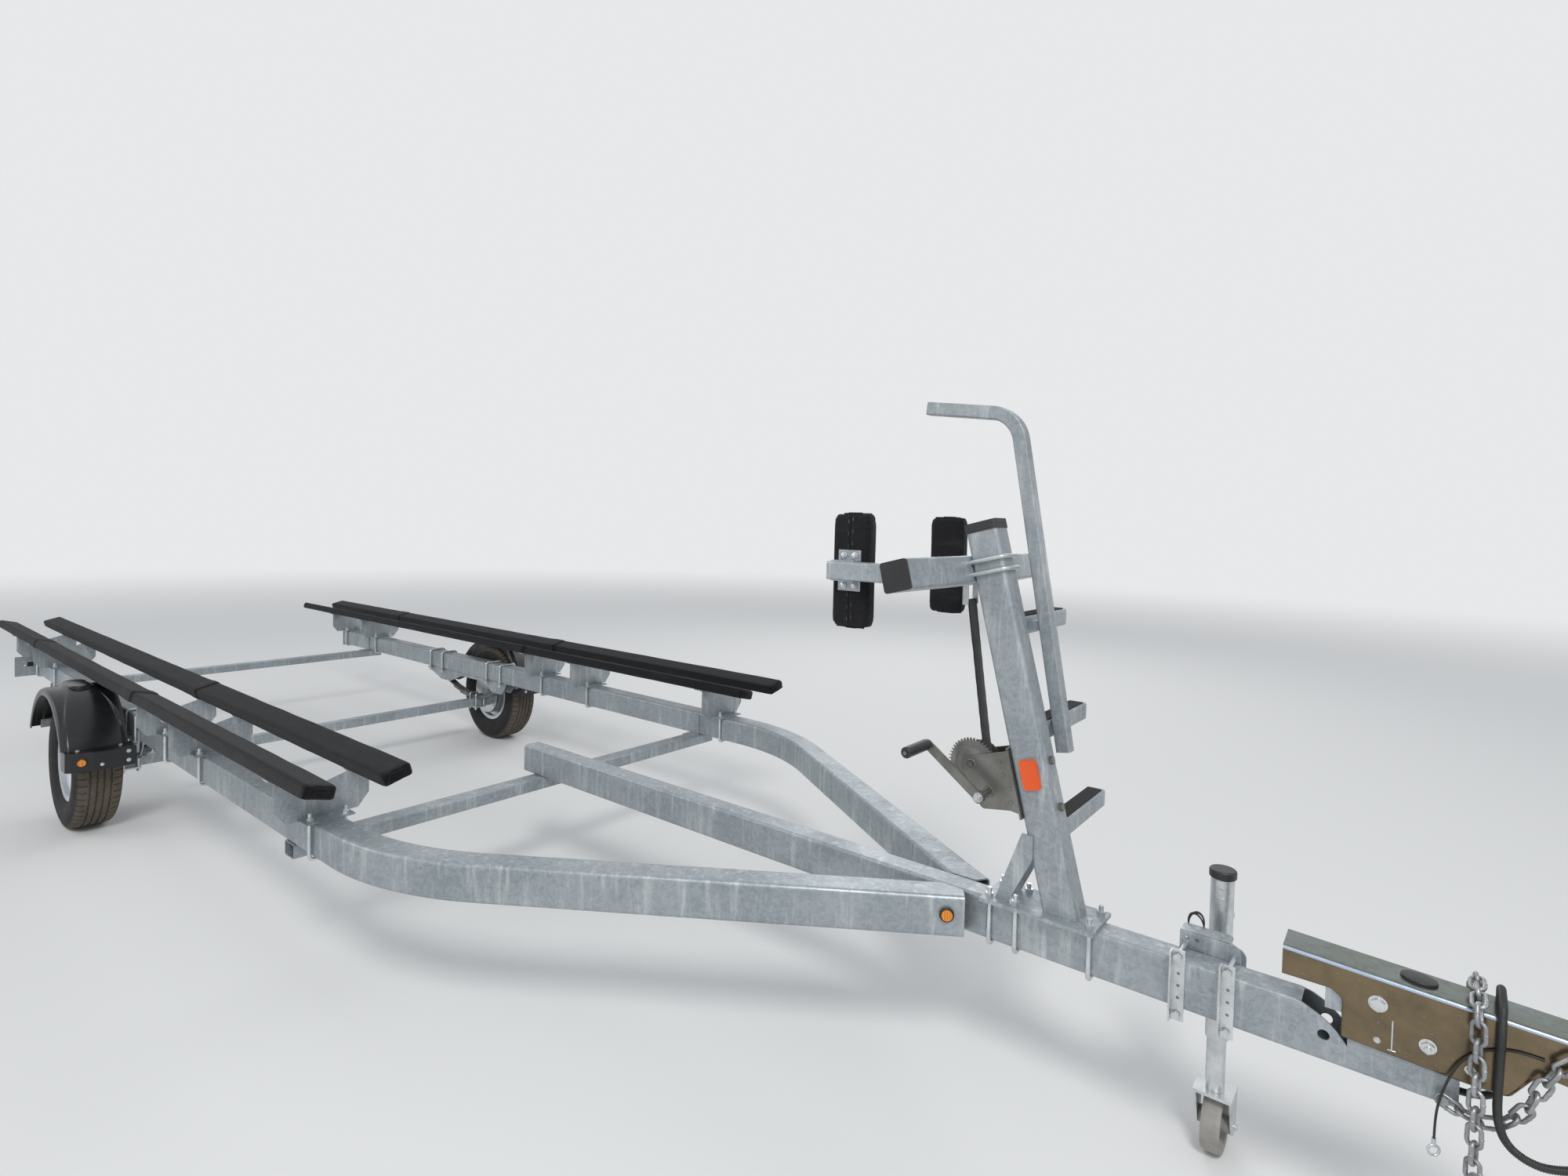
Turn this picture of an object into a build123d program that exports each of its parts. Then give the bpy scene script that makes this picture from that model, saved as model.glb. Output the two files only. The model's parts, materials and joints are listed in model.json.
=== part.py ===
from build123d import *
import math
import os

os.makedirs("parts", exist_ok=True)

# Boat trailer on one axle, with four bunks and a ladder on its winch post. Millimetres.
# +X runs forward to the coupler, +Y to the left wheel, +Z up. The ground is Z = 0 and the
# origin lies under the middle of the trailer's length.

SIDES = (-1, 1)
FIT = 0.3
WELD = 1.0

# wheels
AXLE_X = -1475.0
WHEEL_Y = 1120.0
TYRE_D = 626.0
TYRE_W = 184.0
TREAD_W = 140.0
TYRE_WALL = 12.0
RIM_D = 330.0
RIM_W = 138.0
RIM_WALL = 4.0
FLANGE_H = 17.0
LUG_CIRCLE = 114.3
LUG_COUNT = 5
DRUM_D = 264.0
SPINDLE_D = 32.0

# axle and springs
AXLE_TUBE = 50.0
AXLE_WALL = 5.0
AXLE_DROP = 43.0
RIDE_GAP = 155.0
LEAF_W = 44.0
LEAF_T = 8.0
LEAF_SHARES = (1.0, 0.74, 0.48)
EYE_D = 30.0
EYE_BOLT_D = 14.0
EYE_REAR = 350.0
EYE_FRONT = 300.0
EYE_DROP = 52.0

# frame tubes
RAIL_Y = 950.0
RAIL_W = 92.0
RAIL_H = 113.0
RAIL_WALL = 4.0
RAIL_CORNER = 12.0
RAIL_REAR_X = -3450.0
RAIL_BEND_X = 1258.0
RAIL_BEND_R = 950.0
RAIL_TIP_X = 2644.0
TONGUE_W = 78.0
TONGUE_X0 = 575.0
TONGUE_X1 = 3690.0
TONGUE_CORNER = 10.0
CROSS_H = 50.0
CROSS_WALL = 4.0

# heights that follow from the wheels
WHEEL_Z = TYRE_D / 2
AXLE_Z = WHEEL_Z - AXLE_DROP
SEAT_Z = AXLE_Z + AXLE_TUBE / 2
RAIL_Z0 = SEAT_Z + RIDE_GAP
RAIL_Z1 = RAIL_Z0 + RAIL_H
RAIL_MID_Z = RAIL_Z0 + RAIL_H / 2
EYE_Z = RAIL_Z0 - EYE_DROP

# U-bolts and nuts
BOLT_R = 6.0
NUT_W = 19.0
NUT_H = 10.0

# fenders
FENDER_GAP = 75.0
FENDER_DROP = 17.0
FENDER_W = 238.0
FENDER_T = 5.0
FENDER_R = TYRE_D / 2 + FENDER_GAP
FENDER_Z = WHEEL_Z - FENDER_DROP
FENDER_Y0 = WHEEL_Y - 90.0
PAD_RISE = 7.0
STEP_LEN = 114.0
STEP_H = 86.0

# bunks
BUNK_W = 96.0
BUNK_T = 46.0
BUNK_TILT = 15.0
BUNK_DY = 115.0
BUNK_CLEAR = 9.0
BUNK_X0 = -3975.0
BUNK_X1 = 1090.0
BRACKET_XS = (-3415.0, -2900.0, -695.0, -245.0, 820.0)
BRACKET_T = 5.0

# winch post, leaning back
POST_X = 2911.0
POST_LEN = 1033.0
POST_LEAN = 14.17
POST_W = 78.0
POST_D = 88.0
POST_WALL = 4.0
POST_CORNER = 9.0
BASE_T = 10.0

# jack on the left of the tongue
JACK_X = 3237.0
JACK_Y = 176.0
JACK_TUBE_R = 26.5
JACK_LEG_R = 22.0
CASTER_D = 150.0

# coupler
BALL_X = 3937.0
BALL_Z = RAIL_Z1 + 2.0
BALL_D = 50.8


def block(x0, x1, y0, y1, z0, z1):
    return Pos((x0 + x1) / 2, (y0 + y1) / 2, (z0 + z1) / 2) * Box(x1 - x0, y1 - y0, z1 - z0)


def across(side, a, b):
    return sorted((side * a, side * b))


def rod(p, q, r):
    start = Vector(*p)
    along = Vector(*q) - start
    return Solid.make_cylinder(r, along.length, Plane(origin=start, z_dir=along.normalized()))


def rod_y(x, z, r, y0, y1):
    return rod((x, min(y0, y1), z), (x, max(y0, y1), z), r)


def outline_xz(points, y0, y1):
    face = make_face(Polyline(*[(x, 0, z) for x, z in points], close=True))
    return extrude(face, amount=y1 - y0, dir=(0, 1, 0)).moved(Pos(0, y0, 0))


def outline_yz(points, x0, x1):
    face = make_face(Polyline(*[(0, y, z) for y, z in points], close=True))
    return extrude(face, amount=x1 - x0, dir=(1, 0, 0)).moved(Pos(x0, 0, 0))


def tube_section(width, height, wall, corner):
    outer = RectangleRounded(width, height, corner)
    return outer - RectangleRounded(width - 2 * wall, height - 2 * wall, max(corner - wall, 0.5))


def mirrored(shape):
    return shape.mirror(Plane.XZ)


def joined(solids):
    out = solids[0]
    for solid in solids[1:]:
        out = out + solid
    return out


def nut(p, axis, width, height):
    hexagon = Plane(origin=p, z_dir=axis) * RegularPolygon(width / 2, 6, major_radius=False)
    return extrude(hexagon, amount=height, dir=axis)


def u_bolt(x, y, half, z_bend, z_end, z_nut):
    # legs along Z on both sides of (x, y), a nut on each leg, fused into one bolt
    corners = [(x, y - half, z_end), (x, y - half, z_bend), (x, y + half, z_bend), (x, y + half, z_end)]
    up = 1 if z_bend > z_end else -1
    section = Plane(origin=corners[0], z_dir=(0, 0, up)) * Circle(BOLT_R)
    bolt = sweep(section, path=FilletPolyline(*corners, radius=2.2 * BOLT_R))
    for leg in (y - half, y + half):
        bolt = bolt + nut((x, leg, z_nut), (0, 0, 1), NUT_W, NUT_H)
    return bolt


def save(name, solids):
    flat = []
    for solid in solids:
        flat += solid.solids()
    shape = flat[0] if len(flat) == 1 else Compound(children=flat)
    shape.label = name
    export_step(shape, f"parts/{name}.step")


# side rails: straight beside the wheels, then bent in to the sides of the tongue
rail_path = FilletPolyline(
    (RAIL_REAR_X, RAIL_Y, RAIL_MID_Z),
    (RAIL_BEND_X, RAIL_Y, RAIL_MID_Z),
    (RAIL_TIP_X, TONGUE_W / 2 + WELD, RAIL_MID_Z),
    radius=RAIL_BEND_R,
)
rail_start = Plane(origin=rail_path @ 0, x_dir=(0, 1, 0), z_dir=(1, 0, 0))
rail = sweep(rail_start * tube_section(RAIL_W, RAIL_H, RAIL_WALL, RAIL_CORNER), path=rail_path)
past_weld = block(
    RAIL_TIP_X - 3 * RAIL_W, RAIL_TIP_X + 2 * RAIL_W, -3 * RAIL_W, TONGUE_W / 2 + FIT, RAIL_Z0 - 1, RAIL_Z1 + 1
)
rail = rail - past_weld
save("side_rails", [rail, mirrored(rail)])

# tongue: square to the rails' height, its top cut down in a curve inside the coupler
CUT_X0 = TONGUE_X1 - 300.0
CUT_X1 = TONGUE_X1 - 180.0
CUT_DROP = 63.0
HOLE_X = TONGUE_X1 - 220.0
HOLE_R = 11.0
tongue_section = Plane.YZ * tube_section(TONGUE_W, RAIL_H, RAIL_WALL, TONGUE_CORNER)
tongue = extrude(tongue_section, amount=TONGUE_X1 - TONGUE_X0).moved(Pos(TONGUE_X0, 0, RAIL_MID_Z))
cut_start = (CUT_X0, 0, RAIL_Z1)
cut_bend = (CUT_X0 + 0.62 * (CUT_X1 - CUT_X0), 0, RAIL_Z1 - 0.3 * CUT_DROP)
cut_end = (CUT_X1, 0, RAIL_Z1 - CUT_DROP)
cut_edges = ThreePointArc(cut_start, cut_bend, cut_end) + Polyline(
    cut_end, (TONGUE_X1 + 1, 0, RAIL_Z1 - CUT_DROP), (TONGUE_X1 + 1, 0, RAIL_Z1 + 1), (CUT_X0, 0, RAIL_Z1 + 1), cut_start
)
tongue = tongue - extrude(make_face(cut_edges), amount=TONGUE_W, both=True)
tongue = tongue - rod_y(HOLE_X, RAIL_MID_Z, HOLE_R, -TONGUE_W, TONGUE_W)
save("tongue", [tongue])

# cross members under the rails, tied to them by angle straps
# columns: x, width, strap width
CROSS_MEMBERS = ((675.0, 76.0, 60.0), (-3005.0, 50.0, 46.0))
STRAP_T = 6.0
STRAP_REACH = 60.0
cross_members = []
for x, width, strap_w in CROSS_MEMBERS:
    section = Plane.XZ * tube_section(width, CROSS_H, CROSS_WALL, 2 * CROSS_WALL)
    bar = extrude(section, amount=RAIL_Y + RAIL_W / 2, both=True).moved(Pos(x, 0, RAIL_Z0 - CROSS_H / 2))
    for side in SIDES:
        inner = RAIL_Y - RAIL_W / 2
        up = across(side, inner - STRAP_T, inner)
        foot = across(side, inner - STRAP_REACH, inner)
        bar = bar + block(x - strap_w / 2, x + strap_w / 2, *up, RAIL_Z0, RAIL_Z1 - RAIL_CORNER)
        bar = bar + block(x - strap_w / 2, x + strap_w / 2, *foot, RAIL_Z0, RAIL_Z0 + STRAP_T)
    cross_members.append(bar)
save("cross_members", cross_members)

# lamp plates across the rails' rear ends, with the tail lamps on their rear faces
LAMP_PLATE_T = 6.0
LAMP_PLATE_IN = 50.0
LAMP_PLATE_OUT = 150.0
LAMP_HOLE = 30.0
LAMP_L = 44.0
LAMP_W = 150.0
LAMP_H = 100.0
lamp_plates = []
tail_lamps = []
for side in SIDES:
    width = across(side, RAIL_Y - LAMP_PLATE_IN, RAIL_Y + LAMP_PLATE_OUT)
    plate = block(RAIL_REAR_X - LAMP_PLATE_T, RAIL_REAR_X, *width, RAIL_Z0 - 10, RAIL_Z1 + 3)
    hole_y = side * (RAIL_Y + RAIL_W / 2 + LAMP_HOLE)
    hole = Pos(RAIL_REAR_X, hole_y, RAIL_MID_Z + 8) * Box(4 * LAMP_PLATE_T, LAMP_HOLE, LAMP_HOLE)
    lamp_plates.append(plate - hole)
    lamp = Box(LAMP_L, LAMP_W, LAMP_H)
    lamp = fillet(lamp.edges().filter_by(Axis.X), 14)
    lamp = fillet(lamp.faces().sort_by(Axis.X)[0].edges(), 5)
    lamp_y = side * (RAIL_Y + LAMP_PLATE_OUT - LAMP_W / 2 - 7)
    tail_lamps.append(Pos(RAIL_REAR_X - LAMP_PLATE_T - LAMP_L / 2, lamp_y, RAIL_MID_Z) * lamp)
save("lamp_plates", lamp_plates)
save("tail_lamps", tail_lamps)

# bunks: wrapped boards in pairs over each rail, tilted toward each other, clear of the fenders
TILT = math.radians(BUNK_TILT)
FENDER_TOP = FENDER_Z + FENDER_R
BUNK_DROP = BUNK_T / 2 / math.cos(TILT)
BUNK_Z = FENDER_TOP + BUNK_CLEAR + BUNK_DROP + (RAIL_Y + BUNK_DY - FENDER_Y0) * math.tan(TILT)
BUNK_EDGE_R = 12.0
bunks = []
for side in SIDES:
    for lean in SIDES:
        board = Box(BUNK_X1 - BUNK_X0, BUNK_W, BUNK_T)
        board = fillet(board.edges().filter_by(Axis.X), BUNK_EDGE_R)
        place = Pos((BUNK_X0 + BUNK_X1) / 2, side * RAIL_Y + lean * BUNK_DY, BUNK_Z)
        bunks.append(place * Rot(lean * BUNK_TILT, 0, 0) * board)
save("bunks", bunks)

# bunk brackets: an upright plate across the rail, a foot on the rail, a flange under each bunk
BRACKET_WING = BUNK_DY + 30.0
BRACKET_BASE = 110.0
BRACKET_STEP = 45.0
FOOT_L = 62.0
FOOT_W = 150.0
FLANGE_L = 38.0
FLANGE_W = 84.0
RAIL_BOLT_Y = RAIL_W / 2 + BOLT_R + 2.0
bracket_bolt_dx = FOOT_L - 26.0
bunk_under = BUNK_Z - BUNK_DROP - FIT
wing_top = bunk_under + (BRACKET_WING - BUNK_DY) * math.tan(TILT)
middle_top = bunk_under - BUNK_DY * math.tan(TILT)
half_web = [
    (0, middle_top), (BRACKET_WING, wing_top), (BRACKET_WING, RAIL_Z1 + BRACKET_STEP), (BRACKET_BASE, RAIL_Z1), (0, RAIL_Z1)
]
brackets = []
bracket_bolts = []
for side in SIDES:
    for x in BRACKET_XS:
        bracket = block(x - BRACKET_T, x + FOOT_L, -FOOT_W / 2, FOOT_W / 2, RAIL_Z1, RAIL_Z1 + BRACKET_T)
        for lean in SIDES:
            bracket = bracket + outline_yz([(lean * y, z) for y, z in half_web], x - BRACKET_T, x)
            flange = Box(FLANGE_L + BRACKET_T, FLANGE_W, BRACKET_T)
            under = Pos(0, 0, -BUNK_T / 2 - FIT - BRACKET_T / 2)
            seat = Pos(x - (FLANGE_L + BRACKET_T) / 2, lean * BUNK_DY, BUNK_Z) * Rot(lean * BUNK_TILT, 0, 0)
            bracket = bracket + seat * under * flange
            leg_y = lean * RAIL_BOLT_Y
            bracket = bracket - rod((x + bracket_bolt_dx, leg_y, RAIL_Z1 - 1), (x + bracket_bolt_dx, leg_y, RAIL_Z1 + 9), BOLT_R + 1)
        brackets.append(bracket.moved(Pos(0, side * RAIL_Y, 0)))
        bracket_bolts.append(
            u_bolt(
                x + bracket_bolt_dx, side * RAIL_Y, RAIL_BOLT_Y, RAIL_Z0 - BOLT_R - WELD / 2, RAIL_Z1 + 30, RAIL_Z1 + BRACKET_T
            )
        )
save("bunk_brackets", brackets)
save("bracket_u_bolts", bracket_bolts)

# spring hangers: arched side plates under each rail, held by U-bolts over it
HANGER_X0 = AXLE_X - 560.0
HANGER_X1 = AXLE_X + 395.0
HANGER_T = 5.0
HANGER_W = 72.0
HANGER_BOLT_XS = (AXLE_X - 530.0, AXLE_X - 370.0, AXLE_X + 200.0, AXLE_X + 360.0)
EAR_L = 32.0
EAR_T = 6.0
EYES = (AXLE_X - EYE_REAR, AXLE_X + EYE_FRONT)
hanger_low = EYE_Z - 24.0
hanger_edge = RAIL_Z0 - 25.0
hanger_arch = RAIL_Z0 - 20.0
hanger_outline = [
    (HANGER_X0, RAIL_Z0), (HANGER_X0, hanger_edge), (EYES[0] - 60, hanger_low), (EYES[0] + 60, hanger_low),
    (AXLE_X - 140, hanger_arch), (AXLE_X + 130, hanger_arch), (EYES[1] - 50, hanger_low), (EYES[1] + 50, hanger_low),
    (HANGER_X1, hanger_edge), (HANGER_X1, RAIL_Z0),
]
hangers = []
hanger_bolts = []
for side in SIDES:
    y = side * RAIL_Y
    hanger = block(HANGER_X0, HANGER_X1, y - HANGER_W / 2, y + HANGER_W / 2, RAIL_Z0 - HANGER_T, RAIL_Z0)
    for y0 in (y - HANGER_W / 2, y + HANGER_W / 2 - HANGER_T):
        hanger = hanger + outline_xz(hanger_outline, y0, y0 + HANGER_T)
    for x in HANGER_BOLT_XS:
        ear = block(x - EAR_L / 2, x + EAR_L / 2, y - RAIL_BOLT_Y - 11, y + RAIL_BOLT_Y + 11, RAIL_Z0 - EAR_T, RAIL_Z0)
        for leg_y in (y - RAIL_BOLT_Y, y + RAIL_BOLT_Y):
            ear = ear - rod((x, leg_y, RAIL_Z0 - 9), (x, leg_y, RAIL_Z0 + 1), BOLT_R + 1)
        hanger = hanger + ear
        z_nut = RAIL_Z0 - EAR_T - NUT_H
        hanger_bolts.append(u_bolt(x, y, RAIL_BOLT_Y, RAIL_Z1 + BOLT_R + WELD / 2, z_nut - 10, z_nut))
    for eye_x in EYES:
        hanger = hanger - rod_y(eye_x, EYE_Z, EYE_BOLT_D / 2, y - HANGER_W, y + HANGER_W)
    hangers.append(hanger)
save("spring_hangers", hangers)
save("hanger_u_bolts", hanger_bolts)

# leaf springs on the axle: a main leaf from eye to eye and two shorter ones under it
LEAF_LOW = SEAT_Z + len(LEAF_SHARES) * LEAF_T
eye_mid_x = (EYES[0] + EYES[1]) / 2
eye_half = (EYES[1] - EYES[0]) / 2
leaf_rise = EYE_Z - EYE_D / 2 + 1 - LEAF_LOW
leaf_r = (eye_half**2 + leaf_rise**2) / (2 * leaf_rise)
springs = []
eye_bolts = []
for side in SIDES:
    y0, y1 = side * RAIL_Y - LEAF_W / 2, side * RAIL_Y + LEAF_W / 2
    stack = []
    for i, share in enumerate(LEAF_SHARES):
        r = leaf_r + i * LEAF_T
        z = LEAF_LOW + leaf_r
        leaf = rod_y(eye_mid_x, z, r + LEAF_T, y0, y1) - rod_y(eye_mid_x, z, r, y0, y1)
        half = eye_half * share
        stack.append(leaf & block(eye_mid_x - half, eye_mid_x + half, y0, y1, SEAT_Z - 1, EYE_Z + EYE_D))
    spring = joined(stack)
    for eye_x in EYES:
        spring = spring + rod_y(eye_x, EYE_Z, EYE_D / 2, y0, y1) - rod_y(eye_x, EYE_Z, EYE_BOLT_D / 2, y0 - 1, y1 + 1)
        bolt = rod_y(eye_x, EYE_Z, EYE_BOLT_D / 2, side * RAIL_Y - HANGER_W / 2 - 8, side * RAIL_Y + HANGER_W / 2 + 8)
        eye_bolts.append(bolt)
    springs.append(spring)
save("leaf_springs", springs)
save("spring_pins", eye_bolts)

# axle: square tube with an upright at each end that carries the spindle
KNUCKLE_Y = WHEEL_Y - 99.0
KNUCKLE_T = 16.0
KNUCKLE_L = 60.0
SHOULDER_Y = KNUCKLE_Y + 25.0
SHOULDER_R = 24.0
SPINDLE_END_Y = WHEEL_Y + 30.0
PLATE_T = 5.0
half_tube = AXLE_TUBE / 2
axle_end = KNUCKLE_Y - KNUCKLE_T
axle = block(AXLE_X - half_tube, AXLE_X + half_tube, -axle_end, axle_end, AXLE_Z - half_tube, AXLE_Z + half_tube)
bore = half_tube - AXLE_WALL
axle = axle - block(AXLE_X - bore, AXLE_X + bore, 1 - axle_end, axle_end - 1, AXLE_Z - bore, AXLE_Z + bore)
backing_plates = []
for side in SIDES:
    upright = across(side, axle_end, KNUCKLE_Y)
    z0 = AXLE_Z - half_tube - 7
    axle = axle + block(AXLE_X - KNUCKLE_L / 2, AXLE_X + KNUCKLE_L / 2, *upright, z0, WHEEL_Z + SHOULDER_R + 10)
    axle = axle + rod_y(AXLE_X, WHEEL_Z, SHOULDER_R, *across(side, KNUCKLE_Y, SHOULDER_Y))
    axle = axle + rod_y(AXLE_X, WHEEL_Z, SPINDLE_D / 2, *across(side, SHOULDER_Y, SPINDLE_END_Y))
    plate_y = across(side, KNUCKLE_Y + WELD, KNUCKLE_Y + WELD + PLATE_T)
    disc = rod_y(AXLE_X, WHEEL_Z, DRUM_D / 2 - 4, *plate_y)
    backing_plates.append(disc - rod_y(AXLE_X, WHEEL_Z, SHOULDER_R, *plate_y))
save("axle", [axle])
save("backing_plates", backing_plates)

# axle clamps: two U-bolts a side over the spring, through a tie plate under the axle
CLAMP_R = 5.0
CLAMP_DX = half_tube + 11.0
CLAMP_DY = LEAF_W / 2 + CLAMP_R + 2.0
TIE_T = 8.0
CLAMP_NUT_W = 16.0
CLAMP_NUT_H = 8.8
clamp_end = CLAMP_DX + CLAMP_R + abs(eye_mid_x - AXLE_X)
clamp_top = LEAF_LOW + clamp_end**2 / (2 * leaf_r) + CLAMP_R + 2 * FIT
tie_z = AXLE_Z - half_tube - TIE_T
clamps = []
for side in SIDES:
    y = side * RAIL_Y
    tie = block(AXLE_X - 50, AXLE_X + 50, y - 40, y + 40, tie_z, tie_z + TIE_T)
    for dx in (-CLAMP_DX, CLAMP_DX):
        x = AXLE_X + dx
        foot_z = tie_z - CLAMP_NUT_H - 8
        corners = [
            (x, y - CLAMP_DY, foot_z), (x, y - CLAMP_DY, clamp_top), (x, y + CLAMP_DY, clamp_top), (x, y + CLAMP_DY, foot_z)
        ]
        section = Plane(origin=corners[0], z_dir=(0, 0, 1)) * Circle(CLAMP_R)
        clamp = sweep(section, path=FilletPolyline(*corners, radius=2 * CLAMP_R))
        for leg_y in (y - CLAMP_DY, y + CLAMP_DY):
            clamp = clamp + nut((x, leg_y, tie_z - CLAMP_NUT_H), (0, 0, 1), CLAMP_NUT_W, CLAMP_NUT_H - FIT)
            tie = tie - rod((x, leg_y, tie_z - 1), (x, leg_y, tie_z + TIE_T + 1), CLAMP_R + FIT)
        clamps.append(clamp)
    clamps.append(tie)
save("axle_clamps", clamps)

# wheels. Profiles are (radius, distance outward from the wheel's middle plane)
RIM_R = RIM_D / 2
TYRE_R = TYRE_D / 2
BEAD_Y = RIM_W / 2 - 7.0
WELL_DEPTH = 22.0
DISC_R = RIM_R - WELL_DEPTH - 2.0
HUB_R = 32.0
HUB_FACE_R = 72.0
SLOT_R = 13.0
SLOT_COUNT = 8


def turned(edges, plane):
    return plane * revolve(make_face(edges), axis=Axis.Z, revolution_arc=360)


def profile(points):
    return Polyline(*[(r, 0, y) for r, y in points], close=True)


def tyre_profile():
    half = TYRE_W / 2
    tread = TREAD_W / 2
    bead = RIM_R + FLANGE_H + FIT
    shoulder = (TYRE_R - 22, 0, tread + 14)
    edge = (TYRE_R - 2, 0, tread - 8)
    widest = (RIM_R + 0.45 * (TYRE_R - RIM_R), 0, half)
    out_side = ThreePointArc((bead, 0, BEAD_Y + 2), widest, shoulder) + ThreePointArc(
        shoulder, (TYRE_R - 7, 0, tread + 5), edge
    )
    in_side = Polyline(
        (RIM_R + FIT, 0, BEAD_Y - 10), (RIM_R + 40, 0, half - TYRE_WALL - 4), (TYRE_R - 30, 0, half - TYRE_WALL - 10),
        (TYRE_R - TYRE_WALL, 0, tread - 20), (TYRE_R - TYRE_WALL, 0, 0),
    )
    foot = Polyline((RIM_R + FIT, 0, BEAD_Y - 10), (RIM_R + FIT, 0, BEAD_Y - 0.6), (bead, 0, BEAD_Y + 2))
    crown = ThreePointArc(edge, (TYRE_R, 0, 0), (edge[0], 0, -edge[2]))
    half_edges = out_side.edges() + in_side.edges() + foot.edges()
    other_half = [edge.mirror(Plane.XY) for edge in half_edges]
    return Wire(list(half_edges) + other_half + list(crown.edges()))


rim_top = RIM_R + FLANGE_H
rim_well = RIM_R - WELL_DEPTH
rim_profile = [
    (rim_top, -RIM_W / 2), (rim_top, 4 - RIM_W / 2), (RIM_R, -BEAD_Y), (RIM_R, -30), (rim_well, -20), (rim_well, 30),
    (RIM_R, 44), (RIM_R, BEAD_Y), (rim_top, RIM_W / 2 - 4), (rim_top, RIM_W / 2),
    (RIM_R - RIM_WALL, BEAD_Y + 4), (RIM_R - RIM_WALL, 46), (rim_well - RIM_WALL, 33), (rim_well - RIM_WALL, -22),
    (RIM_R - RIM_WALL, -33), (RIM_R - RIM_WALL, -BEAD_Y - 4),
]
disc_profile = [
    (DISC_R, 8), (DISC_R, 14), (100, 28), (HUB_FACE_R + 6, 6), (HUB_R + 1, 6), (HUB_R + 1, 0), (HUB_FACE_R + 8, 0), (103, 22)
]
spindle = SPINDLE_D / 2 + FIT
drum_out = DRUM_D / 2
hub_profile = [
    (spindle, -72), (HUB_R - 1, -72), (HUB_R - 1, -60), (drum_out - 20, -58), (drum_out - 5, -86), (drum_out, -86),
    (drum_out, -30), (drum_out - 12, -22), (HUB_FACE_R, -20), (HUB_FACE_R, -FIT), (HUB_R + 0.7, -FIT), (HUB_R + 0.7, 34),
    (HUB_R - 4, 66), (0, 70), (0, 34), (spindle, 34),
]
STUD_R = 6.2
LUG_W = 21.0
LUG_H = 15.0
for name, side in (("left", 1), ("right", -1)):
    outward = Plane(origin=(AXLE_X, side * WHEEL_Y, WHEEL_Z), x_dir=(1, 0, 0), z_dir=(0, side, 0))
    save(f"tyre_{name}", [turned(tyre_profile(), outward)])
    rim = turned(profile(rim_profile), outward) + turned(profile(disc_profile), outward)
    hub = turned(profile(hub_profile), outward)
    for k in range(SLOT_COUNT):
        turn = Rot(0, 0, (k + 0.5) * 360 / SLOT_COUNT)
        rim = rim - outward * turn * Pos(120, 0, 18) * Cylinder(SLOT_R, 40)
    for k in range(LUG_COUNT):
        place = outward * Rot(0, 0, 90 + k * 360 / LUG_COUNT) * Pos(LUG_CIRCLE / 2, 0, 0)
        rim = rim - place * Pos(0, 0, 3) * Cylinder(STUD_R + FIT, 20)
        hub = hub + place * Pos(0, 0, 10) * Cylinder(STUD_R, 32)
        hub = hub + place * Pos(0, 0, 6 + FIT) * extrude(RegularPolygon(LUG_W / 2, 6, major_radius=False), amount=LUG_H)
    save(f"rim_{name}", [rim])
    save(f"hub_{name}", [hub])

# fenders: one moulded section turned about the wheel, with a raised crown and a rolled outer lip
# columns: distance from the inner edge, height above the fender's own radius
FENDER_SECTION = ((0.0, 0.0), (62.0, 0.0), (76.0, 9.0), (166.0, 9.0), (182.0, 0.0), (FENDER_W - FENDER_T / 2, 0.0))
FENDER_BENDS = (10.0, 10.0, 10.0, 12.0, 14.0)
LIP_DEPTH = 36.0
CROWN_RISE = 9.0
FENDER_LOW = RAIL_Z0 - 10.0
PAD_L = 220.0
PAD_W = 90.0
PAD_MID = 121.0
PAD_T = 20.0
STEP_X0 = AXLE_X + FENDER_R - 70.0
STEP_X1 = STEP_X0 + STEP_LEN
STEP_Z1 = RAIL_Z0 - 2.0
STEP_Z0 = STEP_Z1 - STEP_H
STEP_Y0 = RAIL_Y + RAIL_W / 2 + 20.0
STEP_Y1 = FENDER_Y0 + FENDER_W - 6.0
STEP_WALL = 6.0
STEP_BEND_Y = STEP_Y0 + 0.62 * (STEP_Y1 - STEP_Y0)
STEP_SWEEP = 22.0
STEP_CORNER = 18.0
ARM_T = 6.0
ARM_H = 40.0
ARM_PLATE_H = 100.0
ARM_FRONT_XS = (STEP_X0 + 60.0, STEP_X1 - STEP_SWEEP - 26.0)
ARM_REAR_DX = 340.0


def fender():
    middle = FENDER_R - FENDER_T / 2
    corners = [(middle + rise, FENDER_Y0 + y) for y, rise in FENDER_SECTION]
    corners.append((middle - LIP_DEPTH, FENDER_Y0 + FENDER_W - FENDER_T / 2))
    section = trace(FilletPolyline(*corners, radius=FENDER_BENDS), line_width=FENDER_T)
    arch = revolve(section, axis=Axis.Y, revolution_arc=360).moved(Pos(AXLE_X, 0, FENDER_Z))
    y0, y1 = FENDER_Y0 - 1, FENDER_Y0 + FENDER_W + 1
    top = FENDER_Z + FENDER_R + 30
    front = block(AXLE_X, AXLE_X + 2 * FENDER_R, y0, y1, STEP_Z1, top)
    rear = block(AXLE_X - 2 * FENDER_R, AXLE_X, y0, y1, FENDER_LOW, top)
    pad = extrude(SlotOverall(PAD_L, PAD_W), amount=PAD_T)
    pad = pad.moved(Pos(AXLE_X, FENDER_Y0 + PAD_MID, FENDER_Z + FENDER_R + CROWN_RISE + PAD_RISE - 4 - PAD_T))
    pad = pad - rod_y(AXLE_X, FENDER_Z, FENDER_R + CROWN_RISE - 2, y0, y1)
    return (arch & (front + rear)) + pad


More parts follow.
